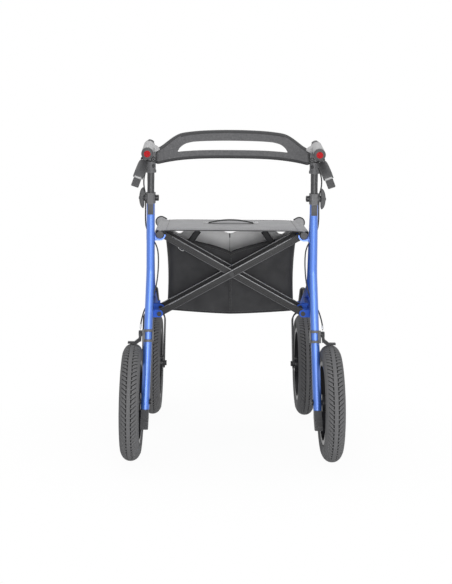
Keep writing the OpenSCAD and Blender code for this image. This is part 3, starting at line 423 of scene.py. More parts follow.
def dress(tree, shader, group, bump, bump_depth, constants):
    """Feeds the shader from a group's colour, roughness and height, and from constant values."""
    feed(tree, shader.inputs, {"Base Color": group.outputs["Colour"], "Roughness": group.outputs["Roughness"],
                               "Normal": bumped(tree, group.outputs["Height"], bump, bump_depth), **constants})


def grained(name, colour, roughness, grain=900.0, mottle=0.12, mottle_scale=14.0, change=0.12, bump=0.15,
            bump_depth=0.0002, metallic=0.0, coat=0.0, coat_roughness=0.12, sheen=0.0, specular=0.5):
    """A painted, moulded, rubber or bare metal finish on Object coordinates."""
    material, tree, shader = new_material(name)
    place = add_node(tree, "ShaderNodeTexCoord").outputs["Object"]
    group = add_node(tree, "ShaderNodeGroup", {
        "Vector": place, "Grain Scale": grain, "Mottle Scale": mottle_scale, "Colour": (*colour, 1), "Mottle": mottle,
        "Roughness": roughness, "Roughness Change": change}, node_tree=GRAIN)
    dress(tree, shader, group, bump, bump_depth, {
        "Metallic": metallic, "Coat Weight": coat, "Coat Roughness": coat_roughness, "Sheen Weight": sheen,
        "Specular IOR Level": specular})
    return material


def woven(name, colour, threads=900.0, contrast=0.3, crease=0.15, bump=0.3, sheen=0.2, specular=0.4):
    """Cloth or webbing on its thread map."""
    material, tree, shader = new_material(name)
    place = add_node(tree, "ShaderNodeUVMap", uv_map="thread").outputs[0]
    group = add_node(tree, "ShaderNodeGroup", {"Vector": place, "Threads": threads, "Colour": (*colour, 1),
                                               "Contrast": contrast, "Crease": crease}, node_tree=WEAVE)
    dress(tree, shader, group, bump, THREAD_DEPTH, {"Sheen Weight": sheen, "Sheen Roughness": 0.4,
                                                    "Specular IOR Level": specular})
    return material


def grey(level, blue):
    """A grey with its own share of blue."""
    return level, level, blue


blue_paint = grained("blue flake paint", (0.066, 0.182, 0.63), 0.48, grain=420, mottle=0.1, bump=0.06, metallic=0.5,
                     coat=1.0, coat_roughness=0.36)
# A darker, duller copy of the blue paint for the front tubes and lower rails: painted shade on the same paint.
blue_paint_in_painted_shade = grained("blue satin paint", (0.04, 0.12, 0.56), 0.6, grain=420, mottle=0.1, bump=0.06, specular=0.1)
black_coat = grained("black powder coat", grey(0.016, 0.018), 0.42, grain=1500, mottle=0.25, bump=0.2, specular=0.3)
tube_coat = grained("dark handle tube coat", grey(0.05, 0.053), 0.36, grain=1500, mottle=0.2, specular=0.4)
bar_coat = grained("black cross bar coat", grey(0.012, 0.013), 0.4, grain=1500, mottle=0.2, bump=0.2, specular=0.2)
# Painted highlights for the cross bars' edges: a light grey for the top edges and a dim grey for the lower ones.
bar_top_painted_highlight = grained("bright top edge of the bars", grey(0.36, 0.37), 0.4, grain=1500, mottle=0.5, mottle_scale=160,
                     bump=0.2)
bar_low_painted_highlight = grained("grey lower edge of the bars", grey(0.09, 0.095), 0.4, grain=1500, mottle=0.3, bump=0.2)
dark_plastic = grained("moulded dark plastic", grey(0.07, 0.073), 0.55, grain=1300, mottle=0.15, bump=0.3,
                       specular=0.35)
deep_plastic = grained("black moulded plastic", grey(0.022, 0.024), 0.45, grain=1300, mottle=0.2, bump=0.3,
                       specular=0.35)
pale_plastic = grained("grey moulded plastic", grey(0.115, 0.12), 0.5, grain=1300, mottle=0.15, bump=0.3,
                       specular=0.35)
gloss_black = grained("glossy black plastic", grey(0.014, 0.016), 0.3, grain=500, mottle=0.2, bump=0.04, specular=0.4)
# Near-black rubber for the tread grooves and the bed between the blocks: painted shade in the recesses.
groove_painted_shade = grained("rubber in the tread grooves", grey(0.02, 0.021), 0.8, grain=700, bump=0.3, specular=0.15)
rubber = grained("tyre rubber", grey(0.118, 0.121), 0.75, grain=700, mottle=0.3, mottle_scale=9, bump=0.35,
                 specular=0.3)
foam = grained("skinned foam", grey(0.108, 0.112), 0.78, grain=700, mottle=0.8, mottle_scale=190, bump=0.6, sheen=0.1,
               bump_depth=0.0004, specular=0.3)
# A much darker grey for the backrest's rounded top and bottom edges: painted shade on the same foam.
foam_edge_painted_shade = grained("smooth foam rim", grey(0.045, 0.047), 0.7, grain=1700, mottle=0.25, mottle_scale=30, bump=0.3,
                   specular=0.3)
soft_grey = grained("soft grey grip", grey(0.4, 0.405), 0.5, grain=1500, mottle=0.08, bump=0.3, specular=0.35)
steel = grained("zinc plated steel", grey(0.55, 0.57), 0.3, grain=260, mottle=0.25, change=0.25, bump=0.1,
                metallic=1.0)
cable_skin = grained("black cable skin", grey(0.012, 0.013), 0.35, grain=600, mottle=0.2, bump=0.05, specular=0.4)
seat_cloth = woven("grey seat cloth", grey(0.25, 0.258), threads=520, contrast=0.25, crease=0.2, bump=0.35, sheen=0.15)
# A near-black line under the seat's rear and front edges: painted shade.
edge_shade_tape = woven("dark hem tape", grey(0.045, 0.047), threads=700, contrast=0.4, crease=0.2, bump=0.4, sheen=0.1)
bag_cloth = woven("black bag cloth", grey(0.023, 0.025), threads=700, contrast=0.5, crease=0.7, bump=0.45, sheen=0.1,
                  specular=0.3)
# The lining is grey cloth whose colour is raised close to white: painted light inside the bag, which lies in the seat's
# shade.
lining_with_painted_light = woven("grey bag lining", grey(0.72, 0.725), contrast=0.15, crease=0.3)
webbing = woven("black webbing", grey(0.012, 0.013), threads=420, contrast=0.8, crease=0.2, bump=0.7, sheen=0.05,
                specular=0.25)
seam_thread = grained("seam thread", grey(0.12, 0.12), 0.7, grain=2400, mottle=0.2, bump=0.3)
pale_thread = grained("pale thread", grey(0.7, 0.7), 0.7, grain=2400, mottle=0.2, bump=0.3)


def make_reflector_material():
    """Red prism reflector: small cells under a clear face."""
    material, tree, shader = new_material("red reflector")
    place = add_node(tree, "ShaderNodeTexCoord")
    cells = add_node(tree, "ShaderNodeTexVoronoi", {"Vector": place.outputs["Object"], "Scale": 420.0},
                     feature="F1", distance="MANHATTAN")
    ramp = add_node(tree, "ShaderNodeValToRGB", {0: cells.outputs["Distance"]})
    ramp.color_ramp.elements[0].color = (0.58, 0.006, 0.01, 1)
    ramp.color_ramp.elements[1].color = (0.3, 0.002, 0.006, 1)
    feed(tree, shader.inputs, {"Base Color": ramp.outputs[0], "Roughness": 0.3, "Specular IOR Level": 0.12,
                               "Normal": bumped(tree, cells.outputs["Distance"], 0.4, 0.0006)})
    return material


# Finishes of the solids that stay

def repaint_solids():
    finishes = {"cross_bars_a": bar_coat, "cross_bars_b": bar_coat, "cross_bolts": black_coat}
    for material, stems in (
            (blue_paint, ("rear_leg",)), (blue_paint_in_painted_shade, ("front_tube", "lower_rail")), (tube_coat, ("handle_tube",)),
            (dark_plastic, ("tip_pedal", "seat_tube")), (gloss_black, ("rear_rim", "front_rim", "head_cap")),
            (pale_plastic, ("height_collar", "handle_head", "brake_housing")),
            (black_coat, ("clamp_bolt", "brake_shoe", "rear_axle", "front_fork", "front_axle", "pivot_bolts")),
            (make_reflector_material(), ("grip_reflector",))):
        finishes.update({f"{stem}_{side}": material for stem in stems for side, _ in SIDES})
    for name, material in finishes.items():
        nodes[name].data.materials.clear()
        nodes[name].data.materials.append(material)


# Edges of the cross bars: thin beads along their rounded corners in a light and a dim grey, a painted highlight where
# the coat shines

PIVOT_Z, BAR_H, BAR_T = 0.379, 0.018, 0.015
BAR_CORNER = 0.0006
BARS = (("a", 1, (-0.1339, -0.0389)), ("b", -1, (-0.1179, -0.0229)))


def make_bar_edge_highlights():
    for bar, hand, middles in BARS:
        foot = Vector((-hand * SEAT_X, 0, PIVOT_Z))
        run = Vector((hand * SEAT_X, 0, SEAT_Z)) - foot
        up = Vector((-run.z, 0, run.x)).normalized() * hand
        # The top beads take the bright painted highlight, the lower ones the dim one.
        for label, finish, lift, radius in (("top", bar_top_painted_highlight, 1, 0.0011), ("low", bar_low_painted_highlight, -1, 0.0009)):
            lines = []
            for y in middles:
                at = up * lift * (BAR_H / 2 - BAR_CORNER) + Vector((0, y - BAR_T / 2 + BAR_CORNER, 0))
                lines.append(tube_mesh("edge", [foot + run * share + at for share in (0.075, 0.5, 0.925)], radius, 8))
            edges = make_object(f"bar_edges_{bar}_{label}", join_meshes("bar_edges", lines), finish)
            fit(edges, f"cross_{bar}")


# Repeats by Geometry Nodes: named inputs, copies made real, and a finish set at the end

GEOMETRY, OBJECT, COUNT = "NodeSocketGeometry", "NodeSocketObject", "NodeSocketInt"


def new_repeat(name, inputs):
    tree = bpy.data.node_groups.new(name, "GeometryNodeTree")
    for label, kind in (("Geometry", GEOMETRY), *inputs, ("Finish", "NodeSocketMaterial")):
        tree.interface.new_socket(label, in_out="INPUT", socket_type=kind)
    tree.interface.new_socket("Geometry", in_out="OUTPUT", socket_type=GEOMETRY)
    return tree, tree.nodes.new("NodeGroupInput").outputs


def end_repeat(tree, given, **copies):
    place = add_node(tree, "GeometryNodeInstanceOnPoints", copies)
    real = add_node(tree, "GeometryNodeRealizeInstances", {0: place.outputs[0]})
    finish = add_node(tree, "GeometryNodeSetMaterial", {"Geometry": real.outputs[0], "Material": given["Finish"]})
    tree.links.new(finish.outputs[0], tree.nodes.new("NodeGroupOutput").inputs[0])
    return tree


def repeat(tree, name, mesh, **values):
    """The tree worked on a mesh, as an object with a plain mesh."""
    obj = make_object(name, mesh)
    modifier = obj.modifiers.new("repeat", "NODES")
    modifier.node_group = tree
    for item in tree.interface.items_tree:
        if item.in_out == "INPUT" and item.name in values:
            modifier[item.identifier] = values[item.name]
    return apply_modifiers(obj)


def make_ring_tree():
    """Copies of a block round the wheel's axle, turned to face out."""
    tree, given = new_repeat("blocks round a wheel", (("Block", OBJECT), ("Count", COUNT), ("Start", FLOAT)))
    line = add_node(tree, "GeometryNodeMeshLine", {"Count": given["Count"], "Offset": (0, 0, 0)}, mode="OFFSET")
    block = add_node(tree, "GeometryNodeObjectInfo", {"Object": given["Block"]})
    index = add_node(tree, "GeometryNodeInputIndex")
    step = maths(tree, "DIVIDE", 2 * math.pi, given["Count"])
    turn = maths(tree, "MULTIPLY_ADD", index.outputs[0], step, given["Start"])
    spin = add_node(tree, "ShaderNodeCombineXYZ", {"X": turn})
    return end_repeat(tree, given, Points=line.outputs[0], Instance=block.outputs["Geometry"],
                      Rotation=spin.outputs[0])


def make_stitch_tree():
    """Short stitches set at even steps along a path."""
    tree, given = new_repeat("stitches along a seam", (("Pitch", FLOAT), ("Length", FLOAT), ("Thread", FLOAT)))
    seam = add_node(tree, "GeometryNodeMeshToCurve", {"Mesh": given["Geometry"]})
    points = add_node(tree, "GeometryNodeCurveToPoints", {"Curve": seam.outputs[0], "Length": given["Pitch"]},
                      mode="LENGTH")
    bead = add_node(tree, "GeometryNodeMeshUVSphere", {"Segments": 6, "Rings": 4, "Radius": 1.0})
    size = add_node(tree, "ShaderNodeCombineXYZ", {"X": given["Thread"], "Y": given["Thread"],
                                                   "Z": maths(tree, "MULTIPLY", given["Length"], 0.5)})
    return end_repeat(tree, given, Points=points.outputs["Points"], Instance=bead.outputs[0],
                      Rotation=points.outputs["Rotation"], Scale=size.outputs[0])


RING_TREE = make_ring_tree()
STITCH_TREE = make_stitch_tree()


def stitch(name, paths, material, pitch=0.0042, length=0.003, thread=0.00045):
    """Rows of stitches along open paths, as one plain mesh object."""
    points, edges = [], []
    for path in paths:
        edges += [(len(points) + i, len(points) + i + 1) for i in range(len(path) - 1)]
        points += [tuple(p) for p in path]
    mesh = bpy.data.meshes.new(name)
    mesh.from_pydata(points, edges, [])
    return repeat(STITCH_TREE, name, mesh, Pitch=pitch, Length=length, Thread=thread, Finish=material)


# Tyres: a turned casing with ribs on its side walls, and rows of tread blocks round it

CASING_R, CROWN_R, GROOVE_R = 0.0251, 0.0263, 0.0243
BLOCK_FOOT, BLOCK_TOP = 0.0246, 0.0264
BEAD_HALF, BEAD_R = 0.012, 0.1052
BLOCKS_ROUND = 80


def casing_radius(turn):
    """Section radius at an angle from the crown, in degrees: crown rib, groove, tread bed and side wall."""
    turn = abs(turn)
    if turn < 12:
        return CROWN_R
    if 13.5 < turn < 20:
        return GROOVE_R
    line = 0.0004 if 72 < turn < 76 or 92 < turn < 94 else 0.0
    return CASING_R + 0.0012 * max(0.0, min(1.0, (turn - 50) / 9)) + line


def make_casing(around=120):
    section = [(math.radians(a), casing_radius(a)) for a in range(-126, 127, 2)]
    ring = [(r * math.sin(a), TYRE_MID + r * math.cos(a)) for a, r in section]
    ring += [(BEAD_HALF, BEAD_R), (-BEAD_HALF, BEAD_R)]
    points = [(across, radius * c, radius * s) for c, s in circle(around) for across, radius in ring]
    mesh = make_mesh("tyre casing", points, grid_faces(around, len(ring), wrap_rows=True, wrap_columns=True))
    # Faces of the grooves and the tread bed take the near-black rubber: painted shade.
    for polygon in mesh.polygons:
        out = math.hypot(polygon.center.y, polygon.center.z) - TYRE_MID
        turn = math.degrees(math.atan2(abs(polygon.center.x), out))
        polygon.material_index = 1 if 12.5 < turn < 51 else 0
    return face_outwards(mesh)


def make_block(name, from_turn, to_turn, skew, length, side, steps=5):
    """One tread block that follows the section from one angle to another, skewed round the wheel."""
    points = []
    for height, taper in ((BLOCK_FOOT, 1.0), (BLOCK_TOP, 0.88)):
        for share in even(0, 1, steps - 1):
            turn = math.radians(from_turn + (to_turn - from_turn) * share)
            radius = TYRE_MID + height * math.cos(turn)
            for end in (-1, 1):
                along = (skew * share + end * length / 2 * taper) / WHEEL_R
                points.append((side * height * math.sin(turn), radius * math.sin(along), radius * math.cos(along)))
    half = 2 * steps
    faces = [(0, half, half + 1, 1), (half - 2, half - 1, 2 * half - 1, 2 * half - 2)]
    for a in range(0, half - 2, 2):
        faces += [(half + a, half + a + 1, half + a + 3, half + a + 2), (a, a + 2, half + a + 2, half + a),
                  (a + 1, half + a + 1, half + a + 3, a + 3)]
    return make_object(name, face_outwards(make_mesh(name, points, faces, smooth=False)))


def make_tyres():
    parts = [make_casing()]
    for side in (-1, 1):
        for block, start in ((make_block("shoulder block", 18.5, 50, 0.011, 0.0102, side), 0.0),
                             (make_block("groove bridge", 11, 19.5, 0.0, 0.0034, side), 0.018)):
            ring = repeat(RING_TREE, "tread", bpy.data.meshes.new("tread"), Block=block, Count=BLOCKS_ROUND,
                          Finish=rubber, Start=start)
            for polygon in ring.data.polygons:
                polygon.material_index = 0
            parts.append(ring.data)
            bpy.data.objects.remove(ring)
            bpy.data.objects.remove(block)
    whole = join_meshes("tyre", parts)
    for end, side, x, y in WHEELS:
        mesh = whole.copy()
        mesh.transform(Matrix.Translation((x, y, WHEEL_R)))
        tyre = make_object(f"{end}_{side}_tyre_tread", mesh, rubber, groove_painted_shade)
        fit(tyre, f"{side}_{end}_wheel", f"{end}_tyre_{side}")


# Valve stems, one on each rim's outer side

VALVE = ((0.0001, 0.0), (0.0042, 0.0), (0.0042, 0.004), (0.003, 0.006), (0.003, 0.022), (0.0038, 0.0225),
         (0.0038, 0.031), (0.003, 0.0325), (0.0001, 0.0325))
VALVE_OUT, VALVE_R = 0.012, 0.0995


def make_valves():
    for end, side, x, y in WHEELS:
        mesh = turned_mesh("valve", VALVE, 20)
        mesh.transform(Matrix.Translation((x + math.copysign(VALVE_OUT, x), y, WHEEL_R))
                       @ Matrix.Rotation(math.radians(37 if end == "front" else 131), 4, "X")
                       @ Matrix.Translation((0, 0, VALVE_R)) @ Matrix.Rotation(math.pi, 4, "X"))
        fit(make_object(f"{end}_{side}_valve", mesh, gloss_black), f"{side}_{end}_wheel")


# Seat sling: cloth stretched between the seat tubes, wrapped round their outer halves, with sewn hems

SEAT_RISE = 0.003
WRAP_R, WRAP_TURN = SEAT_TUBE_R + 0.0004, 162
SLEEVE_X, SHOULDER = 0.188, 0.0062
FLARE_FROM, FLARE_RUN = 0.055, 0.075
FLARE_OUT, FLARE_UP, FLARE_R = 0.0092, 0.0068, 0.0036
CLOTH_T, STRAP_T = 0.0018, 0.002
HEM = 0.0125
LIFT_Y, LIFT_X, LIFT_HALF = SEAT_REAR - 0.005 + 0.292 * 0.62, 0.067, 0.012
LIFT_UP, LIFT_RISE = 0.0008, 0.0092
TACK_X, TACK_HALF, TACK_UP = 0.0735, 0.006, 0.0029


def seat_height(x):
    """Height of the cloth's underside: a flat bed a little above the tubes."""
    return SEAT_Z + WRAP_R + SEAT_RISE * (1 - (abs(x) / SEAT_X) ** 10)


def sleeve(y):
    """Middle, radius and shoulder of the sleeve round a seat tube: snug below, flared and raised at the front end."""
    loose = soft_step((y - FLARE_FROM) / FLARE_RUN)
    return SEAT_X + FLARE_OUT * loose, SEAT_Z + FLARE_UP * loose, WRAP_R + FLARE_R * loose, SHOULDER * (1 - loose)


def sling_profile(y):
    """Points (x, z, run) across the seat from the left sleeve's end to the right one's."""
    middle_x, middle_z, radius, shoulder = sleeve(y)
    lift = middle_z + radius - SEAT_Z - WRAP_R
    half = [(x, seat_height(x * SEAT_X / middle_x) + lift * soft_step((x - SLEEVE_X) / (middle_x - SLEEVE_X)))
            for x in even(0, middle_x, 48)]
    for degrees in even(90, 90 - WRAP_TURN, 14)[1:]:
        turn = math.radians(degrees)
        reach = radius + shoulder * max(0.0, math.sin(2 * turn))
        half.append((middle_x + reach * math.cos(turn), middle_z + reach * math.sin(turn)))
    line = [(-x, z) for x, z in half[:0:-1]] + half
    return [(x, z, run) for (x, z), run in zip(line, runs(line))]


def across_folds(piece):
    """Bakes the piece's placement into its mesh."""
    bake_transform(piece)


def make_sling():
    ends = (0.0, 0.002, 0.006, 0.011)
    rows = [SEAT_REAR + e for e in ends] + even(SEAT_REAR + 0.014, SEAT_FRONT - 0.014, 40)
    rows += [SEAT_FRONT - e for e in ends[::-1]]
    points, uv = [], []
    for y in rows:
        edge = min(y - SEAT_REAR, SEAT_FRONT - y)
        for x, z, run in sling_profile(y):
            middle = max(0.0, 1 - (abs(x) / SEAT_X) ** 2)
            roll = -0.0012 * max(0.0, 1 - edge / 0.006) ** 2 * min(1.0, middle * 6)
            groove = -0.0006 * math.exp(-((edge - HEM) / 0.0012) ** 2) * min(1.0, middle * 8)
            ripple = 0.0006 * math.sin(y * 61 + x * 9) * math.sin(x * 23 + 1.3) * middle
            points.append((x, y, z + roll + groove + ripple))
            uv.append((run, y))
    sling = make_object("seat_cloth", sheet_mesh("seat_sling", len(rows), points, uv, (0, 0, 1)), seat_cloth)
    thicken(sling, CLOTH_T, offset=1.0)
    fit(sling, node="seat_sling")
    across_folds(sling)


def make_seat_seams():
    rows = [[(x, y, seat_height(x) + 0.0014) for x in even(-0.19, 0.19, 60)]
            for y in (SEAT_REAR + HEM, SEAT_FRONT - HEM)]
    rows += [[(x, y, seat_height(x) + CLOTH_T) for y in even(SEAT_REAR + 0.006, SEAT_FRONT - 0.006, 30)]
             for x in (-0.184, 0.184)]
    across_folds(fit(stitch("seat_stitches", rows, seam_thread)))


def make_lifting_strap():
    line = [(LIFT_X * share, seat_height(LIFT_X * share) + LIFT_UP + LIFT_RISE * (1 - share ** 2))
            for share in even(-1, 1, 32)]
    points, uv = [], []
    for (x, z), run in zip(line, runs(line)):
        for v in even(-LIFT_HALF, LIFT_HALF, 6):
            points.append((x, LIFT_Y + v, z + LIFT_UP * (1 - (v / LIFT_HALF) ** 2)))
            uv.append((run, v))
    lifting = make_object("lifting_strap", sheet_mesh("lifting_strap", len(line), points, uv, (0, 0, 1)), webbing)
    thicken(lifting, STRAP_T, offset=1.0)
    across_folds(fit(lifting, node="seat_strap"))
    boxes = []
    for side in (-1, 1):
        x, z = side * TACK_X, seat_height(TACK_X) + TACK_UP
        near, far = x - side * TACK_HALF, x + side * TACK_HALF
        low, high = LIFT_Y - LIFT_HALF, LIFT_Y + LIFT_HALF
        boxes.append([(near, low, z), (far, low, z), (far, high, z), (near, high, z), (near, low, z)])
        boxes.append([(near, LIFT_Y, z), (far, LIFT_Y, z)])
    across_folds(fit(stitch("strap_stitches", boxes, pale_thread, thread=0.0014)))


def make_seat_edge_shade_and_bindings():
    # A dark tube just below each edge of the cloth: painted shade along the underside of the edge.
    for end, y in (("rear", SEAT_REAR + 0.0008), ("front", SEAT_FRONT - 0.0008)):
        edge = [(x, y, seat_height(x) - 0.0014) for x in even(-0.2, 0.2, 60)]
        across_folds(fit(make_object(f"seat_hem_{end}", tube_mesh("hem", edge, 0.0016, 10), edge_shade_tape)))
    rim = [(x, z) for x, z, _ in sling_profile(SEAT_FRONT) if x > 0.192]
    for (side, sign), body in zip(SIDES, ("cross_b", "cross_a")):
        line = [(sign * x, SEAT_FRONT + 0.0004, z) for x, z in rim]
        fit(make_object(f"seat_binding_{side}", tube_mesh("binding", line, 0.0032, 12), webbing), body)


# Bag: a sagging shell with a notched rear rim, bound edges and a grey lining

BAG_X, BAG_BACK, BAG_FRONT = 0.186, -0.0102, 0.1342
BAG_MIDDLE = (BAG_BACK + BAG_FRONT) / 2
BAG_CORNER, BAG_FLARE, BAG_ROUND = 0.02, 0.008, 1.05
REAR_RIM_Z, FRONT_RIM_Z, FLOOR_Z, FLOOR_SAG, FLOOR_DIP = 0.5345, 0.584, 0.3645, 0.0095, 0.002
WEBBING_HALF = 0.009


def hang(piece, node=None):
    return fit(piece, "left_frame", node)


def bag_outline(count=120):
    """Points (x, y, run) round the bag's plan from the middle of the rear panel, with soft corners."""
    corners = [(BAG_X, BAG_BACK), (BAG_X, BAG_FRONT), (-BAG_X, BAG_FRONT), (-BAG_X, BAG_BACK)]
    line = [(0.0, BAG_BACK)]
    for i, (cx, cy) in enumerate(corners):
        mx = cx - math.copysign(BAG_CORNER, cx)
        my = cy - math.copysign(BAG_CORNER, cy - BAG_MIDDLE)
        for degrees in even(90 * i - 90, 90 * i, 6):
            turn = math.radians(degrees)
            line.append((mx + BAG_CORNER * math.cos(turn), my + BAG_CORNER * math.sin(turn)))
    line.append((0.0, BAG_BACK))
    lengths = runs(line)
    out, seg = [], 0
    for k in range(count):
        want = lengths[-1] * k / count
        while lengths[seg + 1] < want:
            seg += 1
        share = (want - lengths[seg]) / max(1e-9, lengths[seg + 1] - lengths[seg])
        (ax, ay), (bx, by) = line[seg], line[seg + 1]
        out.append((ax + (bx - ax) * share, ay + (by - ay) * share, want))
    return out


def bag_rim(x, y):
    """Height of the bag's upper edge: notched at the rear, and a little slack at the front."""
    back = max(0.0, min(1.0, 1 - (y - BAG_BACK) / 0.03))
    reach = min(1.0, abs(x) / 0.172)
    notch = REAR_RIM_Z + 0.046 * reach ** 0.72 + 0.008 * max(0.0, reach - 0.8) / 0.2
    dips = 0.0105 * math.exp(-(x / 0.022) ** 2) + 0.012 * math.exp(-((abs(x) - 0.155) / 0.014) ** 2)
    front = FRONT_RIM_Z - dips
    return notch * back + front * (1 - back)


def bag_floor(x):
    return FLOOR_Z - FLOOR_SAG * (1 - min(1.0, abs(x) / 0.17) ** 1.4)


def bag_wall(x, y, share):
    """A point of the wall at a share of its height: drawn in at the waist, flared at the top of the rear panel."""
    z = bag_floor(x) + (bag_rim(x, y) - bag_floor(x)) * share
    waist, aside = math.sin(math.pi * share), abs(x) / BAG_X
    flare = BAG_FLARE * share ** 3 * soft_step((0.05 - y) / 0.045) * aside ** 8
    nx = x * (1 - 0.018 * waist * aside ** 6) + math.copysign(flare, x)
    if abs(x) >= BAG_X - 0.004:
        return nx, y, z
    slack = 0.0024 * waist * math.sin(x * 19 + 0.6) * math.sin(z * 27) if abs(y - BAG_BACK) < 0.004 else 0.0
    pull = 0.0015 * math.sin(x * 60) * share ** 4 if y < 0.02 else 0.001 * math.sin(x * 40 + z * 20)
    return nx, min(max(y + slack + pull, BAG_BACK), BAG_FRONT), z


def make_bag_shell(plan, levels=26, rings=9):
    """The walls from the floor up, then the floor in rings from its edge to its middle."""
    points, uv, count = [], [], len(plan)
    for share in even(0, 1, levels):
        for x, y, run in plan:
            points.append(bag_wall(x, y, share))
            uv.append((run, points[-1][2]))
    faces = grid_faces(levels + 1, count, wrap_columns=True)
    outer = 0
    for r in range(1, rings):
        shrink, inner = 1 - r / rings, len(points)
        for k, (x, y, _) in enumerate(plan):
            cx, cy, n = x * shrink, BAG_MIDDLE + (y - BAG_MIDDLE) * shrink, (k + 1) % count
            points.append((cx, cy, bag_floor(cx) - FLOOR_DIP * math.sin(math.pi * (1 - shrink) / 2)))
            uv.append((cx, cy))
            faces.append((outer + k, inner + k, inner + n, outer + n))
        outer = inner
    faces += [(outer + k, len(points), outer + (k + 1) % count) for k in range(count)]
    points.append((0, BAG_MIDDLE, bag_floor(0) - FLOOR_DIP))
    uv.append((0, 0))
    mesh = face_outwards(make_mesh("bag", points, faces, uv))
    if mesh.polygons[0].normal.y > 0:
        mesh.flip_normals()
    bag = make_object("bag_shell", mesh, bag_cloth, lining_with_painted_light)
    thicken(bag, CLOTH_T, inner_material=1)
    hang(bag, "bag")
    return bag


def make_bag_binding(plan):
    """Tape folded over the rim, grey on the inner side of the front."""
    tape = ((-0.0026, -0.011), (-0.0032, -0.003), (-0.001, 0.0012), (0.0006, -0.003), (0.0004, -0.011))
    points, uv = [], []
    for x, y, run in plan + plan[:1]:
        out = Vector((x / BAG_X, 0, 0)) if 0 < y < 0.12 else Vector((0, -1 if y < 0.05 else 1, 0))
        for k, (proud, drop) in enumerate(tape):
            points.append(Vector((x, y, bag_rim(x, y) + drop)) + out * proud)
            uv.append((run, k * 0.004))
    mesh = make_mesh("bag_binding", points, grid_faces(len(plan) + 1, len(tape)), uv)
    for polygon in mesh.polygons:
        polygon.material_index = 1 if polygon.center.y > 0.04 and polygon.index % 4 < 2 else 0
    return hang(make_object("bag_binding", face_outwards(mesh), webbing, lining_with_painted_light))


def make_bag_trim():
    """The zip's tab, a loose thread, the lining's seam and the rows of stitches."""
    tab = bar_mesh("tab", [(-0.001, BAG_FRONT - 0.0036, z) for z in (0.5605, 0.562, 0.571, 0.574)], ALONG_X,
                   [0.0018, 0.0034, 0.0034, 0.0022], [0.0010] * 4)
    loose = smooth_path([(-0.1539, BAG_BACK - 0.0012, 0.5569), (-0.1529, BAG_BACK - 0.0016, 0.5461),
                         (-0.141, BAG_BACK - 0.0018, 0.5385), (-0.1303, BAG_BACK - 0.0012, 0.5440)])
    seam = [(-0.001, BAG_FRONT - 0.0024, z) for z in (0.40, 0.48, 0.573)]
    rows = [[(x, BAG_BACK - 0.0006, bag_rim(x, BAG_BACK) - 0.0085) for x in even(-0.16, 0.16, 80)],
            [(x, BAG_BACK - 0.0004, bag_floor(x) + 0.006) for x in even(-0.17, 0.17, 80)]]
    rows += [[(x, BAG_BACK - 0.0004, z) for z in even(0.366, 0.516, 30)] for x in (-0.002, 0.002)]
    return [hang(piece) for piece in (
        make_object("bag_zip_tab", tab, webbing),
        make_object("bag_pull_thread", tube_mesh("thread", loose, 0.0008, 8), pale_thread),
        make_object("bag_lining_seam", tube_mesh("seam", seam, 0.0007, 8), seam_thread),
        stitch("bag_stitches", rows, seam_thread))]


def make_bag_strap(side, sign):
    """A strap from the seat to the rear panel, and the box of stitches that holds it."""
    top, foot = Vector((sign * 0.095, -0.0118, 0.5985)), Vector((sign * 0.128, -0.0118, 0.552))
    run = foot - top
    across = Vector((-run.z, 0, run.x)).normalized() * WEBBING_HALF
    points, uv = [], []
    for share in even(0, 1, 14):
        for v in even(-1, 1, 4):
            points.append(top + run * share + across * v + Vector((0, -0.0012 * math.sin(math.pi * share), 0)))
            uv.append((run.length * share, v * WEBBING_HALF))
    strap = make_object(f"bag_webbing_{side}", sheet_mesh("bag_webbing", 15, points, uv, (0, -1, 0)), webbing)
    thicken(strap, CLOTH_T)
    box = [foot + run.normalized() * a + across * b + Vector((0, -0.0012, 0)) for a, b in
           ((-0.014, -0.75), (-0.002, -0.75), (-0.002, 0.75), (-0.014, 0.75), (-0.014, -0.75))]
    return [hang(strap, "bag_straps"), hang(stitch(f"webbing_stitches_{side}", [box], seam_thread))]


def make_bag():
    plan = bag_outline()
    pieces = [make_bag_shell(plan), make_bag_binding(plan)] + make_bag_trim()
    for side, sign in SIDES:
        pieces += make_bag_strap(side, sign)
    for piece in pieces:
        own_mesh(piece)


# Backrest: one band of moulded foam with rounded outer edges and a long window

BACK_X, BACK_T, BACK_BOW, BACK_END_Y = 0.2127, 0.020, 0.065, -0.18431
BOW_R = (BACK_X ** 2 + BACK_BOW ** 2) / (2 * BACK_BOW)
BOW_Y = BACK_END_Y + BACK_BOW - BOW_R
WINDOW_X, BAR_BELOW = 0.1565, 0.0235
END_ROUND, EDGE_ROUND = 0.007, 0.0092
BAND_TOP = ((0, 0.8955), (0.0375, 0.8951), (0.075, 0.8938), (0.098, 0.8923), (0.1155, 0.8905), (0.1365, 0.8876),
            (0.150, 0.8838), (0.164, 0.8762), (0.178, 0.8658), (0.190, 0.8562), (0.201, 0.8489), (0.2085, 0.8455),
            (0.2127, 0.8442))
WINDOW_TOP = ((0, 0.8650), (0.0714, 0.8641), (0.105, 0.8625), (0.1196, 0.8608), (0.1375, 0.8556), (0.1507, 0.8458),
              (0.1565, 0.8370))


def band_edges(x):
    return from_table(BAND_TOP, x), 0.8146 - 0.0155 * (abs(x) / BACK_X) ** 3.4


def band_ring(x, arc):
    """Points (depth, z) round the band's section, with four on the window's upper and lower edges."""
    short = max(0.0, END_ROUND - (BACK_X - abs(x)))
    inset = END_ROUND - math.sqrt(max(0.0, END_ROUND ** 2 - short ** 2))
    top, low = band_edges(x)
    sill = low + BAR_BELOW
    ceiling = max(from_table(WINDOW_TOP, x), sill + 0.002)
    half = BACK_T / 2 - inset
    radius = min(EDGE_ROUND, half)

    def rounded(level, hand):
        return [(-hand * (radius * math.cos(turn) + math.copysign(half - radius, math.cos(turn))),
                 level + hand * radius * (math.sin(turn) - 1)) for turn in even(0, math.pi, arc - 1)]

    return (rounded(low + inset, -1) + [(-half, sill), (-half, ceiling)]
            + rounded(top - inset, 1) + [(half, ceiling), (half, sill)])


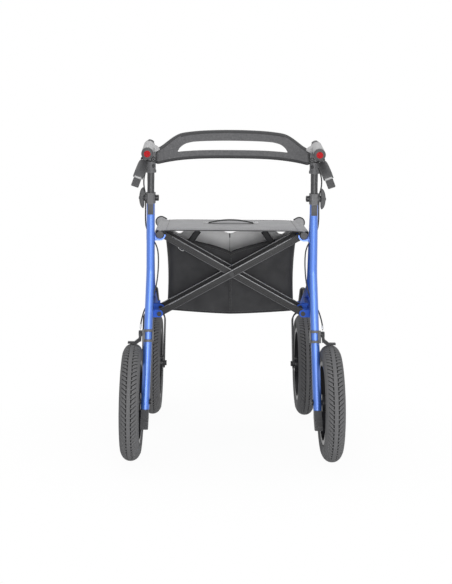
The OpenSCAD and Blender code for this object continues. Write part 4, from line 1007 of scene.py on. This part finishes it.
def make_backrest(arc=12):
    """Each half of the band is drawn station by station along its bow, and folds with the handle that carries it."""
    inner = [WINDOW_X * math.sin(math.pi / 2 * k / 48) for k in range(-48, 1)]
    outer = even(WINDOW_X, BACK_X - 0.010, 14)[1:] + [BACK_X - e for e in (0.007, 0.0035, 0.0012, 0.0)]
    stations = [-x for x in outer[::-1]] + inner
    points = []
    for x in stations:
        bend = math.sqrt(BOW_R ** 2 - x ** 2)
        points += [(x * (1 + d / BOW_R), BOW_Y + bend * (1 + d / BOW_R), z) for d, z in band_ring(x, arc)]
    size = 2 * arc + 4
    back_low, back_high, front_high, front_low = arc, arc + 1, 2 * arc + 2, 2 * arc + 3
    first = len(outer)
    faces = []
    for i in range(len(stations) - 1):
        a, b = i * size, (i + 1) * size
        open_here = i >= first
        for j in range(size):
            n = (j + 1) % size
            if not (open_here and j in (back_low, front_high)):
                faces.append((a + j, a + n, b + n, b + j))
        if open_here:
            faces.append((a + back_low, a + front_low, b + front_low, b + back_low))
            faces.append((a + front_high, a + back_high, b + back_high, b + front_high))
    a, b = first * size, (len(stations) - 1) * size
    faces.append((a + back_low, a + back_high, a + front_high, a + front_low))
    faces.append(tuple(range(size)))
    faces.append(tuple(b + k for k in list(range(arc + 1)) + [front_low]))
    faces.append(tuple(b + k for k in range(back_high, front_high + 1)))
    mesh = face_outwards(make_mesh("backrest_band", points, faces))
    # Faces on the rounded top and bottom edges take the darker foam: painted shade.
    for polygon in mesh.polygons:
        top, low = band_edges(polygon.center.x)
        polygon.material_index = 0 if low + 0.009 <= polygon.center.z <= top - EDGE_ROUND else 1
    sharp_edges(mesh)
    for side, sign in SIDES:
        half = make_object(f"backrest_band_{side}", mesh.copy() if sign < 0 else mirrored(mesh, "backrest_band"),
                           foam, foam_edge_painted_shade)
        fit(half, f"{side}_handle", "backrest" if side == "left" else None)
        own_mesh(half)
    bpy.data.meshes.remove(mesh)


# Grips: a dark core with an end ring and a tab, under a soft grey hood that widens into a shelf towards the backrest

GRIP_FRAME = Matrix.Translation(in_handle(GRIP_X, 0, GRIP_UP)) @ Matrix.Rotation(TILT + math.radians(5), 4, "X")
GRIP_RING = [(-0.104, 0.0150), (-0.1032, 0.0158), (-0.101, 0.0162), (-0.094, 0.0162), (-0.0925, 0.0152),
             (-0.090, 0.0150)]
GRIP_HOOD = ([(-0.086, 0.0153)] + [(-0.080 + 0.003 * k, 0.0154 - 0.00004 * k) for k in range(29)]
             + [(0.010, 0.0138), (0.0145, 0.0126), (0.0168, 0.0112), (0.0178, 0.0092)])
HOOD_START, HOOD_T, TAB_RISE, SHELF_OUT = -0.0885, 0.0007, 0.0017, 0.0165


def grip_lift(y):
    return 0.0027 * soft_step((y + 0.1) / 0.12)


def make_grips(sides=48):
    points = []
    for y, radius in GRIP_RING + GRIP_HOOD:
        hooded = y > HOOD_START
        shelf = soft_step((y + 0.045) / 0.012) * soft_step((-0.004 - y) / 0.012)
        for k in range(sides):
            turn = 2 * math.pi * k / sides
            r = radius
            if hooded and turn < math.pi + 0.2:
                r += HOOD_T
            if y > 0.003 and 1.4 < turn < 2.5:
                r += TAB_RISE
            x, z = r * math.cos(turn), r * math.sin(turn)
            if x < 0:
                x -= SHELF_OUT * shelf * max(0.0, 1 - abs(z + 0.004) / 0.012) ** 0.9
            points.append((x, y, z + grip_lift(y)))
    mesh = loft("grip", len(GRIP_RING + GRIP_HOOD), points)
    for polygon in mesh.polygons:
        x, y, z = polygon.center
        brim = grip_lift(y) - (0.010 if x < -0.0155 else 0.001)
        tab = y > -0.008 and z > 0.009 and -0.0125 < x < 0.003
        polygon.material_index = 1 if y > HOOD_START and z > brim and not tab else 0
    mesh.transform(GRIP_FRAME)
    both_sides("palm_grip", mesh, "handle", (dark_plastic, soft_grey), "grip")


# Levers, knobs, collars and heads: the shapes of their soft and moulded faces

LEVER_FRAME = (Matrix.Translation(in_handle(GRIP_X, -0.026, GRIP_UP)) @ HANDLE_TURN
               @ Matrix.Rotation(-math.radians(19), 4, "Y") @ Matrix.Translation((0, 0, -0.034)))
LEVER_BEND, LEVER_DIP, PAD_DIP, LEVER_DROP = 0.064, math.radians(26), math.radians(58), -0.0015
LEVER_SHELL = ((0.012, 0.021, 0.0100), (0.018, 0.0245, 0.0115), (0.030, 0.0265, 0.0122), (0.045, 0.0270, 0.0125),
               (0.058, 0.0270, 0.0125), (0.062, 0.0270, 0.0120), (0.066, 0.0270, 0.0120), (0.072, 0.0268, 0.0115),
               (0.078, 0.0262, 0.0110), (0.080, 0.0245, 0.0090))
LEVER_BAND = ((0.077, 0.0190, 0.0075), (0.079, 0.0205, 0.0085), (0.084, 0.0210, 0.0090), (0.0845, 0.0200, 0.0080),
              (0.0855, 0.0200, 0.0080))
PAD_START, PAD_PITCH, PAD_RIBS = 0.086, 0.0036, 6
PAD_RIB = ((0.0, 0.0208, 0.0092), (0.0026, 0.0208, 0.0092), (0.0029, 0.0200, 0.0084), (0.0034, 0.0200, 0.0084))
PAD_END = (0.1084, 0.0185, 0.0065)
PIN = ((0.001, -0.0112), (0.0032, -0.0108), (0.0032, 0.0108), (0.001, 0.0112))
KNOB_FRAME = Matrix.Translation(in_handle(0, 0, 0.015)) @ HANDLE_TURN
KNOB_HALF = 0.027
KNOB_HUB = ((0.0085, 0.0157), (0.009, 0.0162), (0.009, 0.0195), (0.0075, 0.0205))
CLAMP_CAP = ((0.006, 0.0130), (0.0083, 0.0132), (0.0085, 0.0150), (0.0085, 0.0205), (0.0078, 0.0222), (0.0052, 0.0226),
             (0.0046, 0.0212), (0.001, 0.0210))
TO_SIDE = Matrix.Rotation(math.pi / 2, 4, "Y")


def along_lever(run, lift=LEVER_DROP):
    """A point of the lever's middle line at a run from the pin, in the lever's frame."""
    first, rest = min(run, LEVER_BEND), max(0.0, run - LEVER_BEND)
    return Vector((0, -first * math.cos(LEVER_DIP) - rest * math.cos(PAD_DIP),
                   -first * math.sin(LEVER_DIP) - rest * math.sin(PAD_DIP) + lift))


def lever_bar(name, sections, corner=0.4):
    """A bar along the lever from (run, width, depth) sections."""
    runs, widths, depths = zip(*sections)
    return bar_mesh(name, [along_lever(run) for run in runs], ALONG_X, widths, depths, corner)


def make_levers():
    shell = [lever_bar("lever_shell", LEVER_SHELL)]
    shell += [bar_mesh("cheek", [along_lever(run, 0.0) + Vector((hand * 0.0085, 0, 0))
                                 for run in (-0.0065, -0.004, 0.008, 0.016)],
                       ALONG_X, [0.002] * 4, [0.007, 0.011, 0.0115, 0.010], 0.3) for hand in (-1, 1)]
    ribs = [(PAD_START + PAD_PITCH * k + run, w, d) for k in range(PAD_RIBS) for run, w, d in PAD_RIB] + [PAD_END]
    rails = [tube_mesh("rail", [along_lever(run, -0.006) + Vector((hand * (w / 2 - 0.0008), 0, 0))
                                for run, w, _ in LEVER_SHELL[1:-1]], 0.0013, 10) for hand in (-1, 1)]
    pin = turned_mesh("pin", PIN, 24)
    pin.transform(TO_SIDE)
    for name, mesh, finish, node in (
            ("lever_shell", join_meshes("lever_shell", shell), dark_plastic, "brake_lever"),
            ("lever_band", lever_bar("lever_band", LEVER_BAND), soft_grey, None),
            ("lever_pad", lever_bar("lever_pad", ribs, 0.3), dark_plastic, None),
            ("lever_rails", join_meshes("lever_rails", rails), pale_plastic, None),
            ("lever_pin", pin, black_coat, None)):
        mesh.transform(LEVER_FRAME)
        both_sides(name, mesh, "lever", (finish,), node)


def make_knobs():
    """A half-moon wing with a rib across its back, on a short hub."""
    path, widths, depths = [], [], []
    for share in even(-1, 1, 28):
        z = KNOB_HALF * math.sin(math.pi / 2 * share)
        bulge = math.sqrt(max(0.0, 1 - (z / KNOB_HALF) ** 2))
        depths.append(0.0036 + 0.0106 * bulge)
        widths.append(0.0075 + 0.0035 * bulge)
        path.append((0.0178 + depths[-1] / 2, 0, z))
    wing = bar_mesh("wing", path, ALONG_Y, widths, depths, 0.5)
    rib = bar_mesh("rib", [(x, 0, 0) for x in (0.0195, 0.0325, 0.0331)], ALONG_Y, [0.0124, 0.0124, 0.010],
                   [0.007, 0.007, 0.005], 0.5)
    hub = turned_mesh("hub", KNOB_HUB)
    hub.transform(TO_SIDE)
    for name, mesh, finish, node in (("knob_wing", join_meshes("wing", [wing, rib]), dark_plastic, "wing_knob"),
                                     ("knob_hub", hub, deep_plastic, None)):
        mesh.transform(KNOB_FRAME)
        both_sides(name, mesh, "knob", (finish,), node)


def make_collars():
    """A darker face on each collar's tongue, and a cap on the clamp bolt's inner end."""
    tongue = bar_mesh("collar_tongue", [in_handle(0, -0.0150, z) for z in (-0.0296, -0.0285, -0.002, -0.0012)], ALONG_X,
                      [0.0130, 0.0148, 0.0148, 0.0130], [0.0006, 0.0012, 0.0012, 0.0006], 0.3)
    both_sides("collar_tongue", tongue, "frame", (dark_plastic,))
    cap = turned_mesh("clamp_cap", CLAMP_CAP)
    cap.transform(KNOB_FRAME @ TO_SIDE.inverted())
    both_sides("clamp_cap", cap, "frame", (gloss_black,))


def make_head_screws():
    """Two sunk screws on the inner side of each handle head's rear face."""
    bpy.context.view_layer.update()
    for label, x, z, radius in (("upper", 0.2182, 0.8150, 0.0072), ("lower", 0.2192, 0.796, 0.0048)):
        _, place, normal, _ = nodes["handle_head_right"].ray_cast(Vector((x, -0.30, z)), Vector(ALONG_Y))
        ring = [(radius * share, z) for share, z in ((1, 0.0), (1, 0.0007), (0.86, 0.0012), (0.62, 0.0011),
                                                     (0.58, 0.0002), (0.30, 0.0001), (0.28, 0.0006))]
        screw = turned_mesh("screw", [(0.001, 0.0)] + ring + [(0.0006, 0.0007)], 28)
        screw.transform(Matrix.Translation(place) @ normal.to_track_quat("Z", "Y").to_matrix().to_4x4()
                        @ Matrix.Translation((0, 0, -0.0002)))
        both_sides(f"head_screw_{label}", screw, "handle", (gloss_black,))


# Cables: smooth black skins along the routes of the solids, with metal ends and the thin wire at the brake

CABLE_R = 0.0019
UPPER_ROUTE = [(0.236, -0.207, 0.794), (0.240, -0.212, 0.780), (0.2435, -0.212, 0.764), (0.2445, -0.204, 0.747),
               (0.2435, -0.190, 0.731)]
LOWER_ROUTE = [(0.24345, -0.1885, 0.7304), (0.243, -0.172, 0.724), (0.243, -0.158, 0.711), (0.2422, -0.157, 0.690),
               (0.242, -0.1565, 0.668), (0.2422, -0.152, 0.645), (0.240, -0.147, 0.622), (0.232, -0.141, 0.602),
               (0.222, -0.137, 0.586), (0.2125, -0.138, 0.570), (0.207, -0.141, 0.550), (0.2055, -0.147, 0.516),
               (0.2085, -0.154, 0.474), (0.217, -0.159, 0.436), (0.229, -0.158, 0.412), (0.241, -0.163, 0.396),
               (0.2475, -0.177, 0.377), (0.2505, -0.191, 0.361), (0.2515, -0.198, 0.349)]


def make_cables():
    upper = tube_mesh("lever_cable", smooth_path(UPPER_ROUTE), CABLE_R)
    for piece, side, sign in both_sides("lever_cable_skin", upper, None, (cable_skin,), "lever_cable"):
        (x0, *start), (x1, *end) = UPPER_ROUTE[-1], UPPER_ROUTE[0]
        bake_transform(piece)
    lower = tube_mesh("brake_cable", smooth_path(LOWER_ROUTE), CABLE_R)
    both_sides("brake_cable_skin", lower, "frame", (cable_skin,), "brake_cable")
    end = Vector(LOWER_ROUTE[-1])
    way = (end - Vector(LOWER_ROUTE[-2])).normalized()
    ferrule = tube_mesh("ferrule", [end - way * back for back in (0.010, 0.0095, 0.001, 0.0)],
                        [0.0021, 0.0025, 0.0025, 0.002])
    both_sides("cable_ferrule", ferrule, "frame", (steel,))
    steps = ((0, 0, 0), (0, -0.002, -0.010), (0.001, -0.004, -0.018))
    wire = tube_mesh("wire", [end + Vector(step) for step in steps], 0.0007, 8)
    both_sides("brake_wire", wire, "frame", (steel,))


# Floor and light

FLOOR_WHITE, FLOOR_REACH, SOFT_LIGHT = 0.96, 8.0, 0.3
LAMP_AIM = Vector((0, 0, 0.45))
LAMPS = (("front", (0.3, -3.5, 1.0), (3.6, 1.8), 44), ("key", (0.3, -3.45, 0.6), (1.2, 0.9), 40),
         ("side", (2.6, -2.2, 2.0), (1.6, 1.6), 12), ("top", (-0.3, 0.2, 3.4), (2.0, 2.0), 50))


def seen_directly(tree):
    """1 for rays from the camera and for what mirror-like and clear faces show, 0 for light that falls on things."""
    path = add_node(tree, "ShaderNodeLightPath").outputs
    seen = maths(tree, "MAXIMUM", path["Is Camera Ray"], path["Is Glossy Ray"])
    return maths(tree, "MAXIMUM", seen, path["Is Transmission Ray"])


def make_floor():
    """A white floor that shows the shadow faintly near the wheels and goes plain white further out."""
    material, tree, shader = new_material("white floor")
    feed(tree, shader.inputs, {"Base Color": (0.8, 0.8, 0.8, 1), "Roughness": 0.9, "Specular IOR Level": 0.1})
    place = add_node(tree, "ShaderNodeTexCoord")
    far = add_node(tree, "ShaderNodeVectorMath", {0: place.outputs["Object"]}, operation="LENGTH")
    plain = add_node(tree, "ShaderNodeMapRange", {"Value": far.outputs["Value"], "From Min": 0.35, "From Max": 0.75,
                                                  "To Min": FLOOR_WHITE, "To Max": 1.0})
    share = maths(tree, "MULTIPLY", seen_directly(tree), plain.outputs[0])
    white = add_node(tree, "ShaderNodeEmission", {"Color": (1, 1, 1, 1), "Strength": 1.0})
    mix = add_node(tree, "ShaderNodeMixShader", {0: share, 1: shader.outputs[0], 2: white.outputs[0]})
    tree.links.new(mix.outputs[0], tree.nodes["Material Output"].inputs["Surface"])
    corners = [(x * FLOOR_REACH, y * FLOOR_REACH, 0) for x, y in ((-1, -1), (1, -1), (1, 1), (-1, 1))]
    make_object("floor", make_mesh("floor", corners, [(0, 1, 2, 3)]), material)


def make_world():
    world = bpy.data.worlds.new("studio")
    scene.world = world
    world.use_nodes = True
    tree = world.node_tree
    soft = tree.nodes["Background"]
    feed(tree, soft.inputs, {"Color": (1, 1, 1, 1), "Strength": SOFT_LIGHT})
    white = add_node(tree, "ShaderNodeBackground", {"Color": (1, 1, 1, 1), "Strength": 1.0})
    mix = add_node(tree, "ShaderNodeMixShader", {0: seen_directly(tree), 1: soft.outputs[0], 2: white.outputs[0]})
    tree.links.new(mix.outputs[0], tree.nodes["World Output"].inputs["Surface"])


def make_lamps():
    for name, place, size, power in LAMPS:
        light = bpy.data.lights.new(name, "AREA")
        light.shape = "RECTANGLE"
        light.size, light.size_y = size
        light.energy = power
        lamp = bpy.data.objects.new(name, light)
        scene.collection.objects.link(lamp)
        lamp.location = place
        lamp.rotation_euler = (LAMP_AIM - Vector(place)).to_track_quat("-Z", "Y").to_euler()


repaint_solids()
make_bar_edge_highlights()
make_tyres()
make_valves()
make_sling()
make_seat_seams()
make_lifting_strap()
make_seat_edge_shade_and_bindings()
make_bag()
make_backrest()
make_grips()
make_levers()
make_knobs()
make_collars()
make_head_screws()
make_cables()
make_floor()
make_world()
make_lamps()
